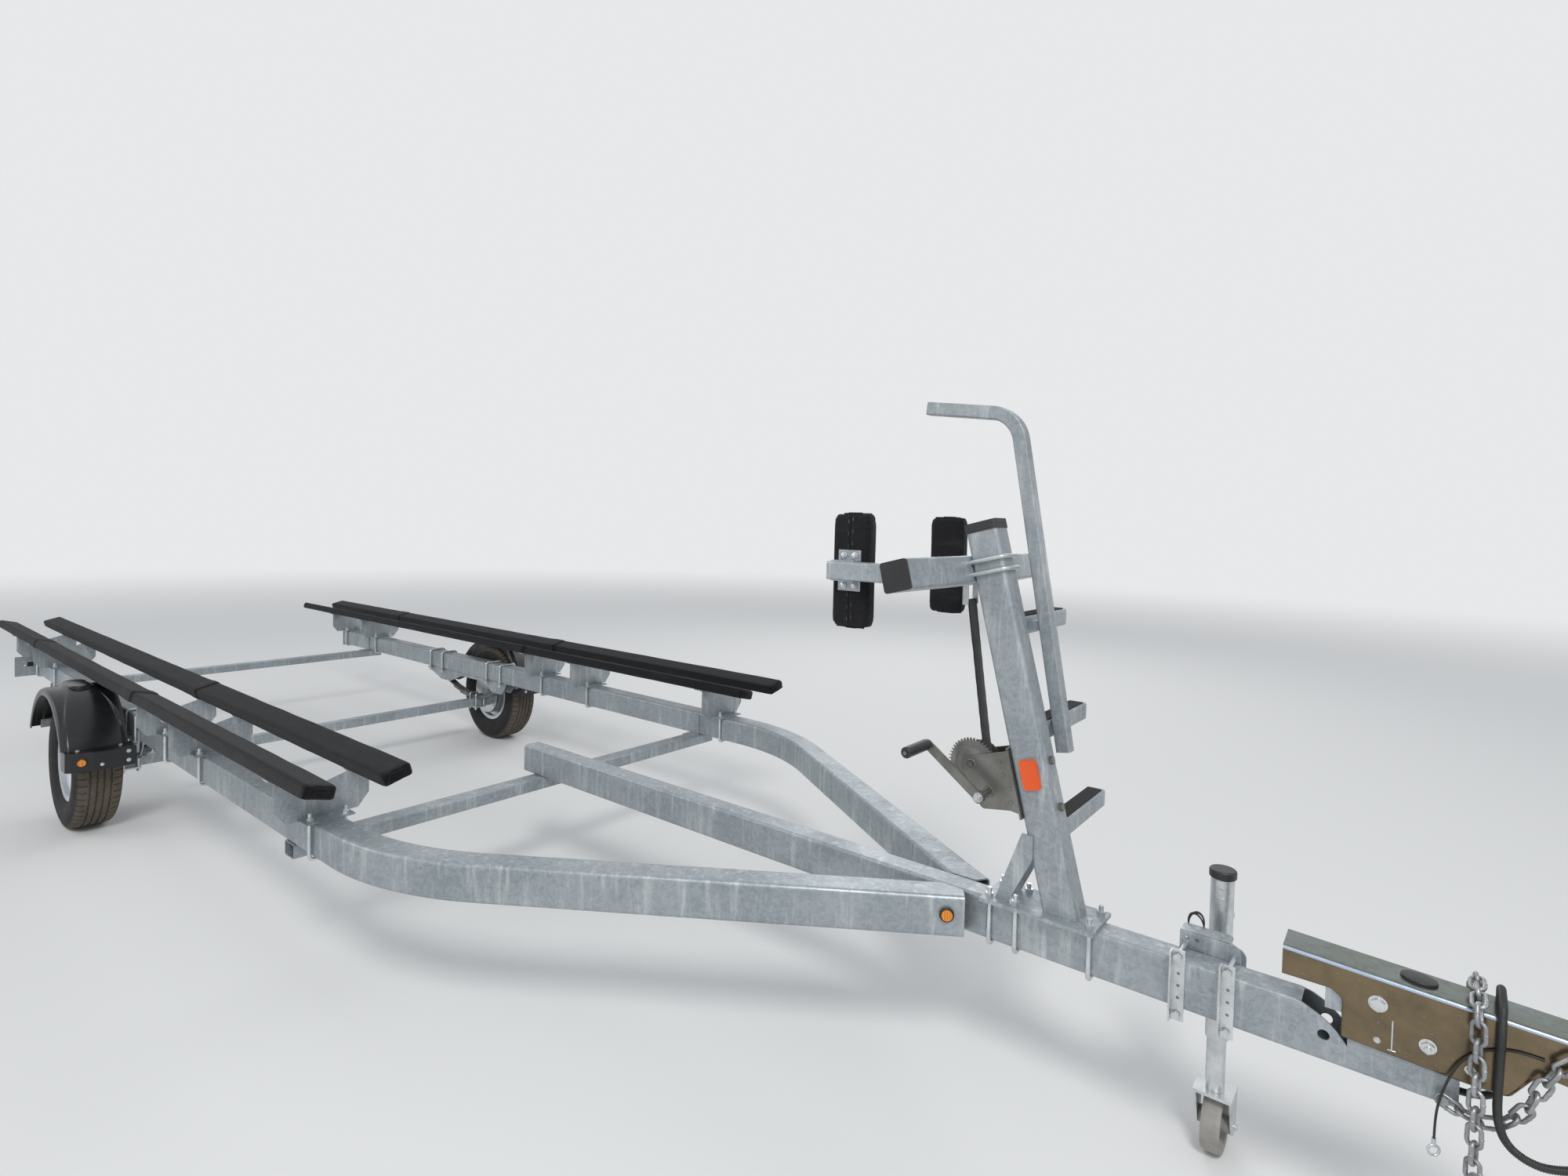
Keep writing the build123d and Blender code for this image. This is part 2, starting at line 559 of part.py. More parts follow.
def fender_step():
    outer = [
        (STEP_X0, STEP_Y0), (STEP_X1, STEP_Y0), (STEP_X1, STEP_BEND_Y), (STEP_X1 - STEP_SWEEP, STEP_Y1 - STEP_CORNER),
        (STEP_X1 - STEP_SWEEP - STEP_CORNER, STEP_Y1), (STEP_X0, STEP_Y1),
    ]
    plan = make_face(Polyline(*outer, close=True))
    shell = extrude(plan, amount=STEP_H).moved(Pos(0, 0, STEP_Z0))
    shell = fillet(shell.faces().sort_by(Axis.Z)[-1].edges().filter_by(Axis.Y), 5)
    room = extrude(offset(plan, amount=-STEP_WALL), amount=STEP_H).moved(Pos(0, 0, STEP_Z0 - STEP_WALL))
    return shell - room


def fender_arms():
    y0, y1 = RAIL_Y + RAIL_W / 2, STEP_Y1 - 34.0
    z1 = STEP_Z1 - STEP_WALL
    front = block(ARM_FRONT_XS[0], ARM_FRONT_XS[1] + ARM_T, y0, y0 + ARM_T, z1 - ARM_H, z1 - ARM_H + ARM_PLATE_H)
    for x in ARM_FRONT_XS:
        front = front + block(x, x + ARM_T, y0, y1, z1 - ARM_H, z1)
    reach = FENDER_R - FENDER_T - FIT
    z1 = FENDER_Z + math.sqrt(reach**2 - ARM_REAR_DX**2)
    x = AXLE_X - ARM_REAR_DX
    rear = block(x, x + ARM_T, y0, y1, z1 - ARM_H, z1)
    rear = rear + block(x, x + 50, y0, y0 + ARM_T, z1 - ARM_H, z1 + 20)
    return front, rear


left_fender = fender()
left_arms = fender_arms()
left_step = fender_step() - left_arms[0]
save("fenders", [left_fender, mirrored(left_fender)])
save("fender_steps", [left_step, mirrored(left_step)])
save("fender_arms", [*left_arms, *[mirrored(arm) for arm in left_arms]])

# marker lamps: on the steps' swept fronts and on the rails' sides near their front ends
LAMP_R = 15.0
LAMP_DEPTH = 12.0
LAMP_BACK = 48.0
rail_slope = (RAIL_Y - TONGUE_W / 2 - WELD) / (RAIL_TIP_X - RAIL_BEND_X)
rail_angle = math.degrees(math.atan(rail_slope))
tip_plane = Plane(origin=(RAIL_TIP_X, TONGUE_W / 2 + WELD, RAIL_MID_Z + 8)).rotated((0, 0, -rail_angle))
rail_lamp = tip_plane * Pos(-LAMP_BACK, RAIL_W / 2, 0) * Rot(-90, 0, 0)
step_angle = math.degrees(math.atan2(STEP_SWEEP, STEP_Y1 - STEP_CORNER - STEP_BEND_Y))
lamp_y = STEP_Y1 - STEP_CORNER - 36.0
lamp_x = STEP_X1 - STEP_SWEEP * (lamp_y - STEP_BEND_Y) / (STEP_Y1 - STEP_CORNER - STEP_BEND_Y)
step_lamp = Pos(lamp_x, lamp_y, (STEP_Z0 + STEP_Z1) / 2) * Rot(0, 0, step_angle) * Rot(0, 90, 0)
lamp_lens = Cylinder(LAMP_R, LAMP_DEPTH, align=(Align.CENTER, Align.CENTER, Align.MIN))
lamps = [rail_lamp * lamp_lens, step_lamp * lamp_lens]
save("marker_lamps", lamps + [mirrored(lamp) for lamp in lamps])

# winch post: a leaning tube on a base plate that is clamped round the tongue
lean = math.radians(POST_LEAN)
lean_x = (math.cos(lean), 0, math.sin(lean))
lean_z = (-math.sin(lean), 0, math.cos(lean))
post_foot = Plane(origin=(POST_X, 0, RAIL_Z1), x_dir=lean_x, z_dir=lean_z)
post_side = Plane(origin=(POST_X, 0, RAIL_Z1), x_dir=lean_x, z_dir=(0, -1, 0))


def on_post(rise, ahead, y=0.0):
    return Vector(POST_X, y, RAIL_Z1) + Vector(*lean_z) * rise + Vector(*lean_x) * ahead


def beside_post(points, radii, y0, y1):
    # points are (ahead of the post's middle line, rise along it)
    face = make_face(FilletPolyline(*points, radius=radii, close=True))
    return post_side * Pos(0, 0, -y1) * extrude(face, amount=y1 - y0)


BASE_REAR = 205.0
BASE_FRONT = 92.0
BASE_W = 144.0
BASE_BOLTS = (-187.0, -115.0, 75.0)
BOLT_SPARE = 14.0
GUSSET_T = 6.0
GUSSET_H = 199.0
WINCH_BOLT_RISES = (274.0, 393.0)
TONGUE_LEG_Y = TONGUE_W / 2 + BOLT_R + WELD
base_top = RAIL_Z1 + BASE_T
post_section = tube_section(POST_D, POST_W, POST_WALL, POST_CORNER)
post = post_foot * Pos(0, 0, -POST_D) * extrude(post_section, amount=POST_LEN + POST_D)
below_base = block(
    POST_X - 2 * POST_D, POST_X + 2 * POST_D, -POST_W, POST_W, RAIL_Z1 - 2 * POST_D, base_top + FIT
)
post = post - below_base
for rise in WINCH_BOLT_RISES:
    post = post - rod(on_post(rise, -POST_D), on_post(rise, POST_D), BOLT_R + FIT)
save("winch_post", [post])
base = block(POST_X - BASE_REAR, POST_X + BASE_FRONT, -BASE_W / 2, BASE_W / 2, RAIL_Z1, base_top)
gusset = [
    (POST_X - 173, base_top - 1), (POST_X - 105, RAIL_Z1 + GUSSET_H), (POST_X - 75, RAIL_Z1 + GUSSET_H),
    (POST_X - 75, RAIL_Z1 + GUSSET_H - 62), (POST_X - 137, base_top - 1),
]
for y0 in (-POST_W / 2 - FIT - GUSSET_T, POST_W / 2 + FIT):
    base = base + outline_xz(gusset, y0, y0 + GUSSET_T)
post_bolts = []
for ahead in BASE_BOLTS:
    x = POST_X + ahead
    for leg_y in (-TONGUE_LEG_Y, TONGUE_LEG_Y):
        base = base - rod((x, leg_y, RAIL_Z1 - 1), (x, leg_y, base_top + 1), BOLT_R + FIT)
    bend_z = RAIL_Z0 - BOLT_R - WELD
    post_bolts.append(u_bolt(x, 0, TONGUE_LEG_Y, bend_z, base_top + NUT_H + BOLT_SPARE, base_top))
save("post_base", [base])

# bow stop: a crossbar clamped behind the post, an arm near each end and an upright pad inside each arm
BOW_DROP = 115.0
BOW_BOLT_GAP = 33.0
BAR_SIZE = 76.0
BAR_HALF = 380.0
BAR_WALL = 4.0
BAR_CORNER = 8.0
CAP_T = 6.0
CAP_SKIRT = 20.0
ARM_Y = 315.0
ARM_SIZE = 48.0
ARM_WALL = 3.0
ARM_REACH = 236.0
PAD_LEN = 115.0
PAD_T = 40.0
PAD_H = 304.0
PAD_ROUND = 9.0
TAB_LEN = 70.0
TAB_H = 30.0
TAB_T = 3.0
bar_mid = on_post(POST_LEN - BOW_DROP, -(POST_D + BAR_SIZE) / 2)
bar_plane = Plane(origin=bar_mid, x_dir=lean_x, z_dir=(0, 1, 0))
bar_solid = bar_plane * extrude(RectangleRounded(BAR_SIZE, BAR_SIZE, BAR_CORNER), amount=BAR_HALF, both=True)
bar_section = tube_section(BAR_SIZE, BAR_SIZE, BAR_WALL, BAR_CORNER)
crossbar = bar_plane * extrude(bar_section, amount=BAR_HALF, both=True)
post_leg_y = POST_W / 2 + BOLT_R + WELD
bar_rear = -POST_D / 2 - BAR_SIZE
for offset in (-BOW_BOLT_GAP / 2, BOW_BOLT_GAP / 2):
    around = Plane(origin=on_post(POST_LEN - BOW_DROP + offset, 0), x_dir=(math.sin(lean), 0, -math.cos(lean)), z_dir=lean_x)
    for leg_y in (-post_leg_y, post_leg_y):
        start = on_post(POST_LEN - BOW_DROP + offset, bar_rear - 1, leg_y)
        crossbar = crossbar - rod(start, on_post(POST_LEN - BOW_DROP + offset, 0, leg_y), BOLT_R + FIT)
    bend = POST_D / 2 + BOLT_R + WELD
    post_bolts.append(around * u_bolt(0, 0, post_leg_y, bend, bar_rear - NUT_H - BOLT_SPARE, bar_rear - NUT_H))
save("bow_crossbar", [crossbar])
save("post_u_bolts", post_bolts)
arms = []
pads = []
pad_x = bar_mid.X - ARM_REACH + PAD_LEN / 2 - 16
for side in SIDES:
    arm = extrude(Plane.YZ * tube_section(ARM_SIZE, ARM_SIZE, ARM_WALL, 5), amount=ARM_REACH)
    arm = arm.moved(Pos(bar_mid.X - ARM_REACH, side * ARM_Y, bar_mid.Z)) - bar_solid
    inner = ARM_Y - ARM_SIZE / 2
    wall = across(side, inner, inner + TAB_T)
    shelf = across(side, inner, inner + 0.8 * ARM_SIZE)
    for z0, z1, shelf_z in (
        (bar_mid.Z + ARM_SIZE / 2, bar_mid.Z + ARM_SIZE / 2 + TAB_H, bar_mid.Z + ARM_SIZE / 2),
        (bar_mid.Z - ARM_SIZE / 2 - TAB_H, bar_mid.Z - ARM_SIZE / 2, bar_mid.Z - ARM_SIZE / 2 - TAB_T),
    ):
        arm = arm + block(pad_x - TAB_LEN / 2, pad_x + TAB_LEN / 2, *wall, z0, z1)
        arm = arm + block(pad_x - TAB_LEN / 2, pad_x + TAB_LEN / 2, *shelf, shelf_z, shelf_z + TAB_T)
    arms.append(arm)
    pad = Box(PAD_LEN, PAD_T, PAD_H)
    pad = fillet(pad.edges(), PAD_ROUND)
    pads.append(Pos(pad_x, side * (inner - PAD_T / 2 - FIT), bar_mid.Z) * pad)
save("bow_arms", arms)
save("bow_pads", pads)


def tube_cap(width, depth, corner):
    # a plate over a tube's end with a short skirt round it
    skirt = RectangleRounded(width + 2 * FIT + 4, depth + 2 * FIT + 4, corner + 2)
    inside = RectangleRounded(width + 2 * FIT, depth + 2 * FIT, corner)
    return extrude(skirt, amount=CAP_T) + Pos(0, 0, -CAP_SKIRT) * extrude(skirt - inside, amount=CAP_SKIRT)


end_plates = []
for side in SIDES:
    start = bar_plane * Pos(0, 0, BAR_HALF if side > 0 else -BAR_HALF - CAP_T)
    end_plates.append(start * extrude(RectangleRounded(BAR_SIZE, BAR_SIZE, BAR_CORNER), amount=CAP_T))
post_cap = post_foot * Pos(0, 0, POST_LEN) * tube_cap(POST_D, POST_W, POST_CORNER)
save("tube_caps", [post_cap] + end_plates)

# ladder rungs on the left of the post with grip strips, and the handrail in front of them
# columns: rise above the rails, with or without a stay to the handrail
RUNGS = ((209.0, False), (455.0, True), (729.0, True))
RUNG_SIZE = 50.0
RUNG_WALL = 3.0
RUNG_AHEAD = 10.0
RUNG_Y1 = 360.0
GRIP_W = 40.0
GRIP_T = 3.0
GRIP_Y0 = 60.0
HAND_SIZE = 38.0
HAND_WALL = 2.5
HAND_Y = 85.0
HAND_BEND_R = 95.0
STAY_W = 20.0
STAY_H = 24.0
# corners: back from the post's foot, above the rails or above the post's length
HAND_FOOT = (44.0, 399.0)
HAND_HEAD = (206.0, 274.0)
HAND_END = (480.0, 308.0)
hand_foot = (POST_X - HAND_FOOT[0], HAND_Y, RAIL_Z1 + HAND_FOOT[1])
hand_head = (POST_X - HAND_HEAD[0], HAND_Y, RAIL_Z1 + POST_LEN + HAND_HEAD[1])
hand_end = (POST_X - HAND_END[0], HAND_Y, RAIL_Z1 + POST_LEN + HAND_END[1])
hand_path = FilletPolyline(hand_foot, hand_head, hand_end, radius=HAND_BEND_R)
hand_start = Plane(origin=hand_foot, x_dir=(0, 1, 0), z_dir=(Vector(*hand_head) - Vector(*hand_foot)).normalized())
handrail = sweep(hand_start * tube_section(HAND_SIZE, HAND_SIZE, HAND_WALL, 5), path=hand_path)
hand_solid = sweep(hand_start * RectangleRounded(HAND_SIZE + 2 * FIT, HAND_SIZE + 2 * FIT, 5), path=hand_path)
save("handrail", [handrail])
hand_slope = (hand_foot[0] - hand_head[0]) / (hand_head[2] - hand_foot[2])
rungs = []
grips = []
for rise, stayed in RUNGS:
    z = RAIL_Z1 + rise
    x = POST_X - math.tan(lean) * rise + RUNG_AHEAD
    rung = extrude(Plane.XZ * tube_section(RUNG_SIZE, RUNG_SIZE, RUNG_WALL, 7), amount=POST_W / 2 - RUNG_Y1)
    rung = rung.moved(Pos(x, POST_W / 2 + FIT, z))
    if stayed:
        hand_x = hand_foot[0] - hand_slope * (z - hand_foot[2])
        stay = block(
            x + RUNG_SIZE / 2 - 1, hand_x, HAND_Y - STAY_W / 2, HAND_Y + STAY_W / 2, z - STAY_H / 2, z + STAY_H / 2
        )
        rung = rung + (stay - hand_solid)
    rungs.append(rung)
    grip = block(x - GRIP_W / 2, x + GRIP_W / 2, GRIP_Y0, RUNG_Y1 - 15, z + RUNG_SIZE / 2, z + RUNG_SIZE / 2 + GRIP_T)
    grips.append(grip)
save("ladder_rungs", rungs)
save("rung_treads", grips)

# orange reflectors on the post's sides
REFLECTOR_RISE = 366.0
REFLECTOR_W = 50.0
REFLECTOR_H = 72.0
REFLECTOR_T = 6.0
reflectors = []
for side in SIDES:
    plate = post_side * Pos(0, REFLECTOR_RISE, 0) * extrude(
        RectangleRounded(REFLECTOR_W, REFLECTOR_H, 5), amount=POST_W / 2 + REFLECTOR_T, both=True
    )
    sides = across(side, POST_W / 2, POST_W / 2 + REFLECTOR_T)
    reflectors.append(plate & block(POST_X - 3 * POST_D, POST_X + POST_D, *sides, RAIL_Z1, RAIL_Z1 + POST_LEN))
save("reflectors", reflectors)

# winch: two cheeks on a base bolted behind the post, a geared drum between them and the crank's pinion
MODULE = 3.0
GEAR_TEETH = 44
PINION_TEETH = 11
GEAR_W = 7.0
DRUM_RISE = 403.0
DRUM_BACK = 157.0
CRANK_FALL = 50.9
SHAFT_R = 8.0
BARREL_R = 16.0
COIL_R = 27.0
FLANGE_R = 50.0
FLANGE_T = 3.0
STRAP_W = 50.0
STRAP_T = 2.4
CHEEK_Y = 46.0
CHEEK_T = 4.0
WINCH_BASE_T = 5.0
LEVER_Y = 106.0
LEVER_T = 6.0
LEVER_W = 26.0
LEVER_LEN = 189.0
LEVER_RISE = 144.0
GRIP_R = 15.0
GRIP_LEN = 112.0
drum_mid = on_post(DRUM_RISE, -DRUM_BACK)
centres = MODULE * (GEAR_TEETH + PINION_TEETH) / 2
fall = math.radians(CRANK_FALL)
crank_mid = drum_mid + Vector(math.cos(fall), 0, -math.sin(fall)) * centres
post_rear = -POST_D / 2
cheek = [
    (post_rear - 1, 268), (post_rear - 1, 430), (-178, 426), (-186, 400), (-150, 285), (-70, 278),
]
winch_frame = beside_post(
    [(post_rear - WINCH_BASE_T, 254), (post_rear - WINCH_BASE_T, 438), (post_rear, 438), (post_rear, 254)],
    [0, 0, 0, 0], -CHEEK_Y - CHEEK_T, CHEEK_Y + CHEEK_T,
)
for y0 in (-CHEEK_Y - CHEEK_T, CHEEK_Y):
    winch_frame = winch_frame + beside_post(cheek, [0, 0, 12, 12, 14, 8], y0, y0 + CHEEK_T)
for middle in (drum_mid, crank_mid):
    winch_frame = winch_frame - rod_y(middle.X, middle.Z, SHAFT_R + FIT, -2 * CHEEK_Y, 2 * CHEEK_Y)
for rise in WINCH_BOLT_RISES:
    front = POST_D / 2
    winch_frame = winch_frame + rod(on_post(rise, post_rear), on_post(rise, front), BOLT_R)
    winch_frame = winch_frame + nut(tuple(on_post(rise, front)), lean_x, NUT_W, NUT_H)
    behind = tuple(on_post(rise, post_rear - WINCH_BASE_T - NUT_H))
    winch_frame = winch_frame + nut(behind, lean_x, NUT_W, NUT_H)
save("winch_frame", [winch_frame])


def gear(teeth, width):
    pitch = teeth * MODULE / 2
    root = pitch - 1.25 * MODULE
    tip = pitch + 0.95 * MODULE
    corners = []
    for k in range(teeth):
        middle = 2 * math.pi * k / teeth
        # columns: radius, half width of the tooth in shares of the pitch angle
        for r, share in ((root, -0.27), (tip, -0.11), (tip, 0.11), (root, 0.27)):
            angle = middle + share * 2 * math.pi / teeth
            corners.append((r * math.cos(angle), r * math.sin(angle)))
    return extrude(make_face(Polyline(*corners, close=True)), amount=width)


def gear_plane(middle, degrees):
    turn = math.radians(degrees)
    return Plane(
        origin=(middle.X, FLANGE_T - CHEEK_Y, middle.Z), x_dir=(math.cos(turn), 0, math.sin(turn)), z_dir=(0, 1, 0)
    )


end_y = CHEEK_Y + CHEEK_T + 3
flange_y = STRAP_W / 2 + FLANGE_T
drum = rod_y(drum_mid.X, drum_mid.Z, SHAFT_R, -end_y, end_y)
drum = drum + rod_y(drum_mid.X, drum_mid.Z, BARREL_R, FLANGE_T - CHEEK_Y, flange_y)
for y0 in (-flange_y - FLANGE_T, flange_y):
    drum = drum + rod_y(drum_mid.X, drum_mid.Z, FLANGE_R, y0, y0 + FLANGE_T)
drum = drum + gear_plane(drum_mid, -CRANK_FALL) * gear(GEAR_TEETH, GEAR_W)
save("winch_drum", [drum])
shaft_y = LEVER_Y + LEVER_T
crank = rod_y(crank_mid.X, crank_mid.Z, SHAFT_R, -shaft_y, end_y)
crank = crank + gear_plane(crank_mid, 180 - CRANK_FALL + 180 / PINION_TEETH) * gear(PINION_TEETH, GEAR_W)
crank = crank + rod_y(crank_mid.X, crank_mid.Z, 2 * SHAFT_R, -shaft_y, 6 - LEVER_Y)
rise = math.radians(LEVER_RISE)
tip = crank_mid + Vector(math.cos(rise), 0, math.sin(rise)) * LEVER_LEN
lever_mid = (crank_mid + tip) / 2
lever = extrude(SlotOverall(LEVER_LEN + LEVER_W, LEVER_W), amount=LEVER_T)
crank = crank + Plane(
    origin=(lever_mid.X, -LEVER_Y, lever_mid.Z), x_dir=(math.cos(rise), 0, math.sin(rise)), z_dir=(0, -1, 0)
) * lever
grip_y0 = -shaft_y - 4
grip_y1 = grip_y0 - GRIP_LEN
crank = crank + rod_y(tip.X, tip.Z, 5, grip_y1 - 4, -LEVER_Y)
save("winch_crank", [crank])
grip = rod_y(tip.X, tip.Z, GRIP_R, grip_y1, grip_y0)
grip = fillet(grip.edges(), 4) - rod_y(tip.X, tip.Z, 5 + FIT, grip_y1 - 5, grip_y0 + 5)
save("crank_grip", [grip])

# strap from its coil on the drum up to the pin of the hook bracket under the crossbar
HOOK_AHEAD = 14.0
HOOK_DROP = 83.0
PIN_R = 5.0
EAR_Y = 33.0
EAR_T = 5.0
EAR_W = 16.0
coil = rod_y(drum_mid.X, drum_mid.Z, COIL_R, -STRAP_W / 2, STRAP_W / 2)
save("strap_coil", [coil - rod_y(drum_mid.X, drum_mid.Z, BARREL_R + FIT, -STRAP_W, STRAP_W)])
hook_x = bar_mid.X + HOOK_AHEAD
hook_z = bar_mid.Z - HOOK_DROP
low = (drum_mid.X + COIL_R + FIT, drum_mid.Z + 6)
high = (hook_x + PIN_R + FIT, hook_z)
strap_line = [low, high, (high[0] + STRAP_T, high[1]), (low[0] + STRAP_T, low[1])]
save("winch_strap", [outline_xz(strap_line, -STRAP_W / 2, STRAP_W / 2)])
hook = rod_y(hook_x, hook_z, PIN_R, -EAR_Y, EAR_Y)
for side in SIDES:
    ear = block(
        hook_x - EAR_W / 2, hook_x + EAR_W / 2, *across(side, EAR_Y - EAR_T, EAR_Y), hook_z - EAR_W / 2, bar_mid.Z
    )
    hook = hook + (ear - bar_solid)
save("strap_hook", [hook])

# jack: its bracket beside the tongue, the clamps round the tongue, the tube, the sliding leg and the caster
JACK_LEN = 130.0
JACK_PLATE_T = 6.0
JACK_LIP = 38.0
JACK_RISE = 194.0
JACK_FALL = 206.0
JACK_WALL = 4.0
PIVOT_R = 28.0
PIVOT_PIN_R = 20.0
SLIDE_GAP = 0.5
CLAMP_W = 30.0
CLAMP_T = 4.0
CLAMP_FLANGE = 22.0
CLAMP_PAST = 26.0
CLAMP_BOLT_R = 5.0
CLAMP_XS = (-50.0, 52.0)
CLAMP_HOLE_R = 3.5
CLAMP_HOLE_COUNT = 3
bracket_y0 = TONGUE_W / 2 + FIT
bracket_y1 = JACK_Y - JACK_TUBE_R - 23.0
lip_z = RAIL_Z1 + JACK_LIP
jack_x0 = JACK_X - JACK_LEN / 2
jack_x1 = JACK_X + JACK_LEN / 2
bolt_zs = (RAIL_Z0 - CLAMP_BOLT_R - 6, RAIL_Z1 + CLAMP_BOLT_R + 6)
jack_bracket = block(jack_x0, jack_x1, bracket_y0, bracket_y0 + JACK_PLATE_T, RAIL_Z0 - CLAMP_PAST, lip_z)
jack_bracket = jack_bracket + block(jack_x0, jack_x1, bracket_y0, bracket_y1, lip_z - JACK_PLATE_T, lip_z)
jack_bracket = jack_bracket + block(jack_x0, jack_x1, bracket_y1 - JACK_PLATE_T, bracket_y1, RAIL_Z0, lip_z)
jack_bracket = jack_bracket + rod_y(JACK_X, RAIL_MID_Z, PIVOT_R, bracket_y0, bracket_y1)
jack_clamps = []
for dx in CLAMP_XS:
    x = JACK_X + dx
    web = across(-1, bracket_y0, bracket_y0 + CLAMP_T)
    clamp = block(x - CLAMP_W / 2, x + CLAMP_W / 2, *web, RAIL_Z0 - CLAMP_PAST, RAIL_Z1 + CLAMP_PAST)
    flange = across(-1, bracket_y0, bracket_y0 + CLAMP_FLANGE)
    clamp = clamp + block(
        x - CLAMP_W / 2, x - CLAMP_W / 2 + CLAMP_T, *flange, RAIL_Z0 - CLAMP_PAST, RAIL_Z1 + CLAMP_PAST
    )
    for k in range(CLAMP_HOLE_COUNT):
        hole_z = RAIL_MID_Z + (k - (CLAMP_HOLE_COUNT - 1) / 2) * RAIL_H / 4
        clamp = clamp - rod_y(x + CLAMP_T / 2, hole_z, CLAMP_HOLE_R, -TONGUE_W, 0)
    for z in bolt_zs:
        past = bracket_y0 + JACK_PLATE_T + NUT_H
        clamp = clamp + rod_y(x, z, CLAMP_BOLT_R, -past, past)
        for start in (-past, past - NUT_H):
            clamp = clamp + nut((x, start, z), (0, 1, 0), 16.0, NUT_H)
        jack_bracket = jack_bracket - rod_y(x, z, CLAMP_BOLT_R + FIT, 0, bracket_y0 + JACK_PLATE_T + 1)
    jack_clamps.append(clamp)
save("jack_bracket", [jack_bracket])
save("jack_clamps", jack_clamps)
jack_z0 = RAIL_MID_Z - JACK_FALL
jack_z1 = RAIL_MID_Z + JACK_RISE
jack_tube = rod((JACK_X, JACK_Y, jack_z0), (JACK_X, JACK_Y, jack_z1), JACK_TUBE_R)
jack_tube = jack_tube + rod_y(JACK_X, RAIL_MID_Z, PIVOT_PIN_R, bracket_y1 + FIT, JACK_Y - JACK_LEG_R)
bore = rod((JACK_X, JACK_Y, jack_z0 - 1), (JACK_X, JACK_Y, jack_z1 - 10), JACK_LEG_R + SLIDE_GAP)
save("jack_tube", [jack_tube - bore])
cap = rod((JACK_X, JACK_Y, jack_z1 + FIT), (JACK_X, JACK_Y, jack_z1 + 22), JACK_TUBE_R + 4.5)
save("jack_cap", [fillet(cap.edges(), 5)])
CASTER_W = 44.0
CASTER_Y = JACK_Y + 24.0
FORK_GAP = 15.0
FORK_PLATE_T = 7.7
LEG_WALL = 3.0
KING_PIN_R = 10.0
AXLE_PIN_R = 7.0
caster_z = CASTER_D / 2
fork_z0 = CASTER_D + 10.0
fork_z1 = fork_z0 + FORK_PLATE_T
leg_z0 = fork_z1 + FIT
leg_z1 = jack_z1 - 155.0
leg = rod((JACK_X, JACK_Y, leg_z0), (JACK_X, JACK_Y, leg_z1), JACK_LEG_R)
leg = leg - rod((JACK_X, JACK_Y, leg_z0 + 72), (JACK_X, JACK_Y, leg_z1 + 1), JACK_LEG_R - LEG_WALL)
leg = leg - rod((JACK_X, JACK_Y, leg_z0 - 1), (JACK_X, JACK_Y, leg_z0 + 52), KING_PIN_R + FIT)
save("jack_leg", [leg])
fork_x = CASTER_W / 2 + FORK_GAP
fork = block(JACK_X - fork_x - 7, JACK_X + fork_x + 7, JACK_Y - 36, JACK_Y + 50, fork_z0, fork_z1)
fork = fork + rod((JACK_X, JACK_Y, fork_z0), (JACK_X, JACK_Y, leg_z0 + 46), KING_PIN_R)
fork_leg = [
    (JACK_Y - 30, fork_z0 + 1), (JACK_Y + 50, fork_z0 + 1), (CASTER_Y + 18, caster_z - 14), (CASTER_Y - 18, caster_z - 14)
]
for x0 in (JACK_X - fork_x - 6, JACK_X + fork_x):
    fork = fork + outline_yz(fork_leg, x0, x0 + 6)
axle_ends = ((JACK_X - fork_x - 12, CASTER_Y, caster_z), (JACK_X + fork_x + 12, CASTER_Y, caster_z))
save("caster_fork", [fork + rod(*axle_ends, AXLE_PIN_R)])
caster_profile = [
    (AXLE_PIN_R + FIT, -fork_x + 1), (20, -fork_x + 1), (20, -8), (caster_z - 16, -8), (caster_z - 12, -CASTER_W / 2 + 3),
    (caster_z - 3, -CASTER_W / 2), (caster_z, -CASTER_W / 2 + 9), (caster_z, CASTER_W / 2 - 9),
    (caster_z - 3, CASTER_W / 2), (caster_z - 12, CASTER_W / 2 - 3), (caster_z - 16, 8), (20, 8), (20, fork_x - 1),
    (AXLE_PIN_R + FIT, fork_x - 1),
]
caster_plane = Plane(origin=(JACK_X, CASTER_Y, caster_z), x_dir=(0, 1, 0), z_dir=(1, 0, 0))
save("caster_wheel", [turned(profile(caster_profile), caster_plane)])
HANDLE_DROP = 100.0
handle_z = jack_z1 - 40.0
handle_y = JACK_Y + 64.0
jack_crank = rod_y(JACK_X, handle_z, 7, JACK_Y + JACK_TUBE_R + FIT, handle_y + 6)
jack_crank = jack_crank + rod((JACK_X, handle_y, handle_z), (JACK_X, handle_y, handle_z - HANDLE_DROP), 6)
handle = rod_y(JACK_X, handle_z - HANDLE_DROP, 11, handle_y - 6, handle_y + 66)
save("jack_crank", [jack_crank + fillet(handle.edges(), 4)])

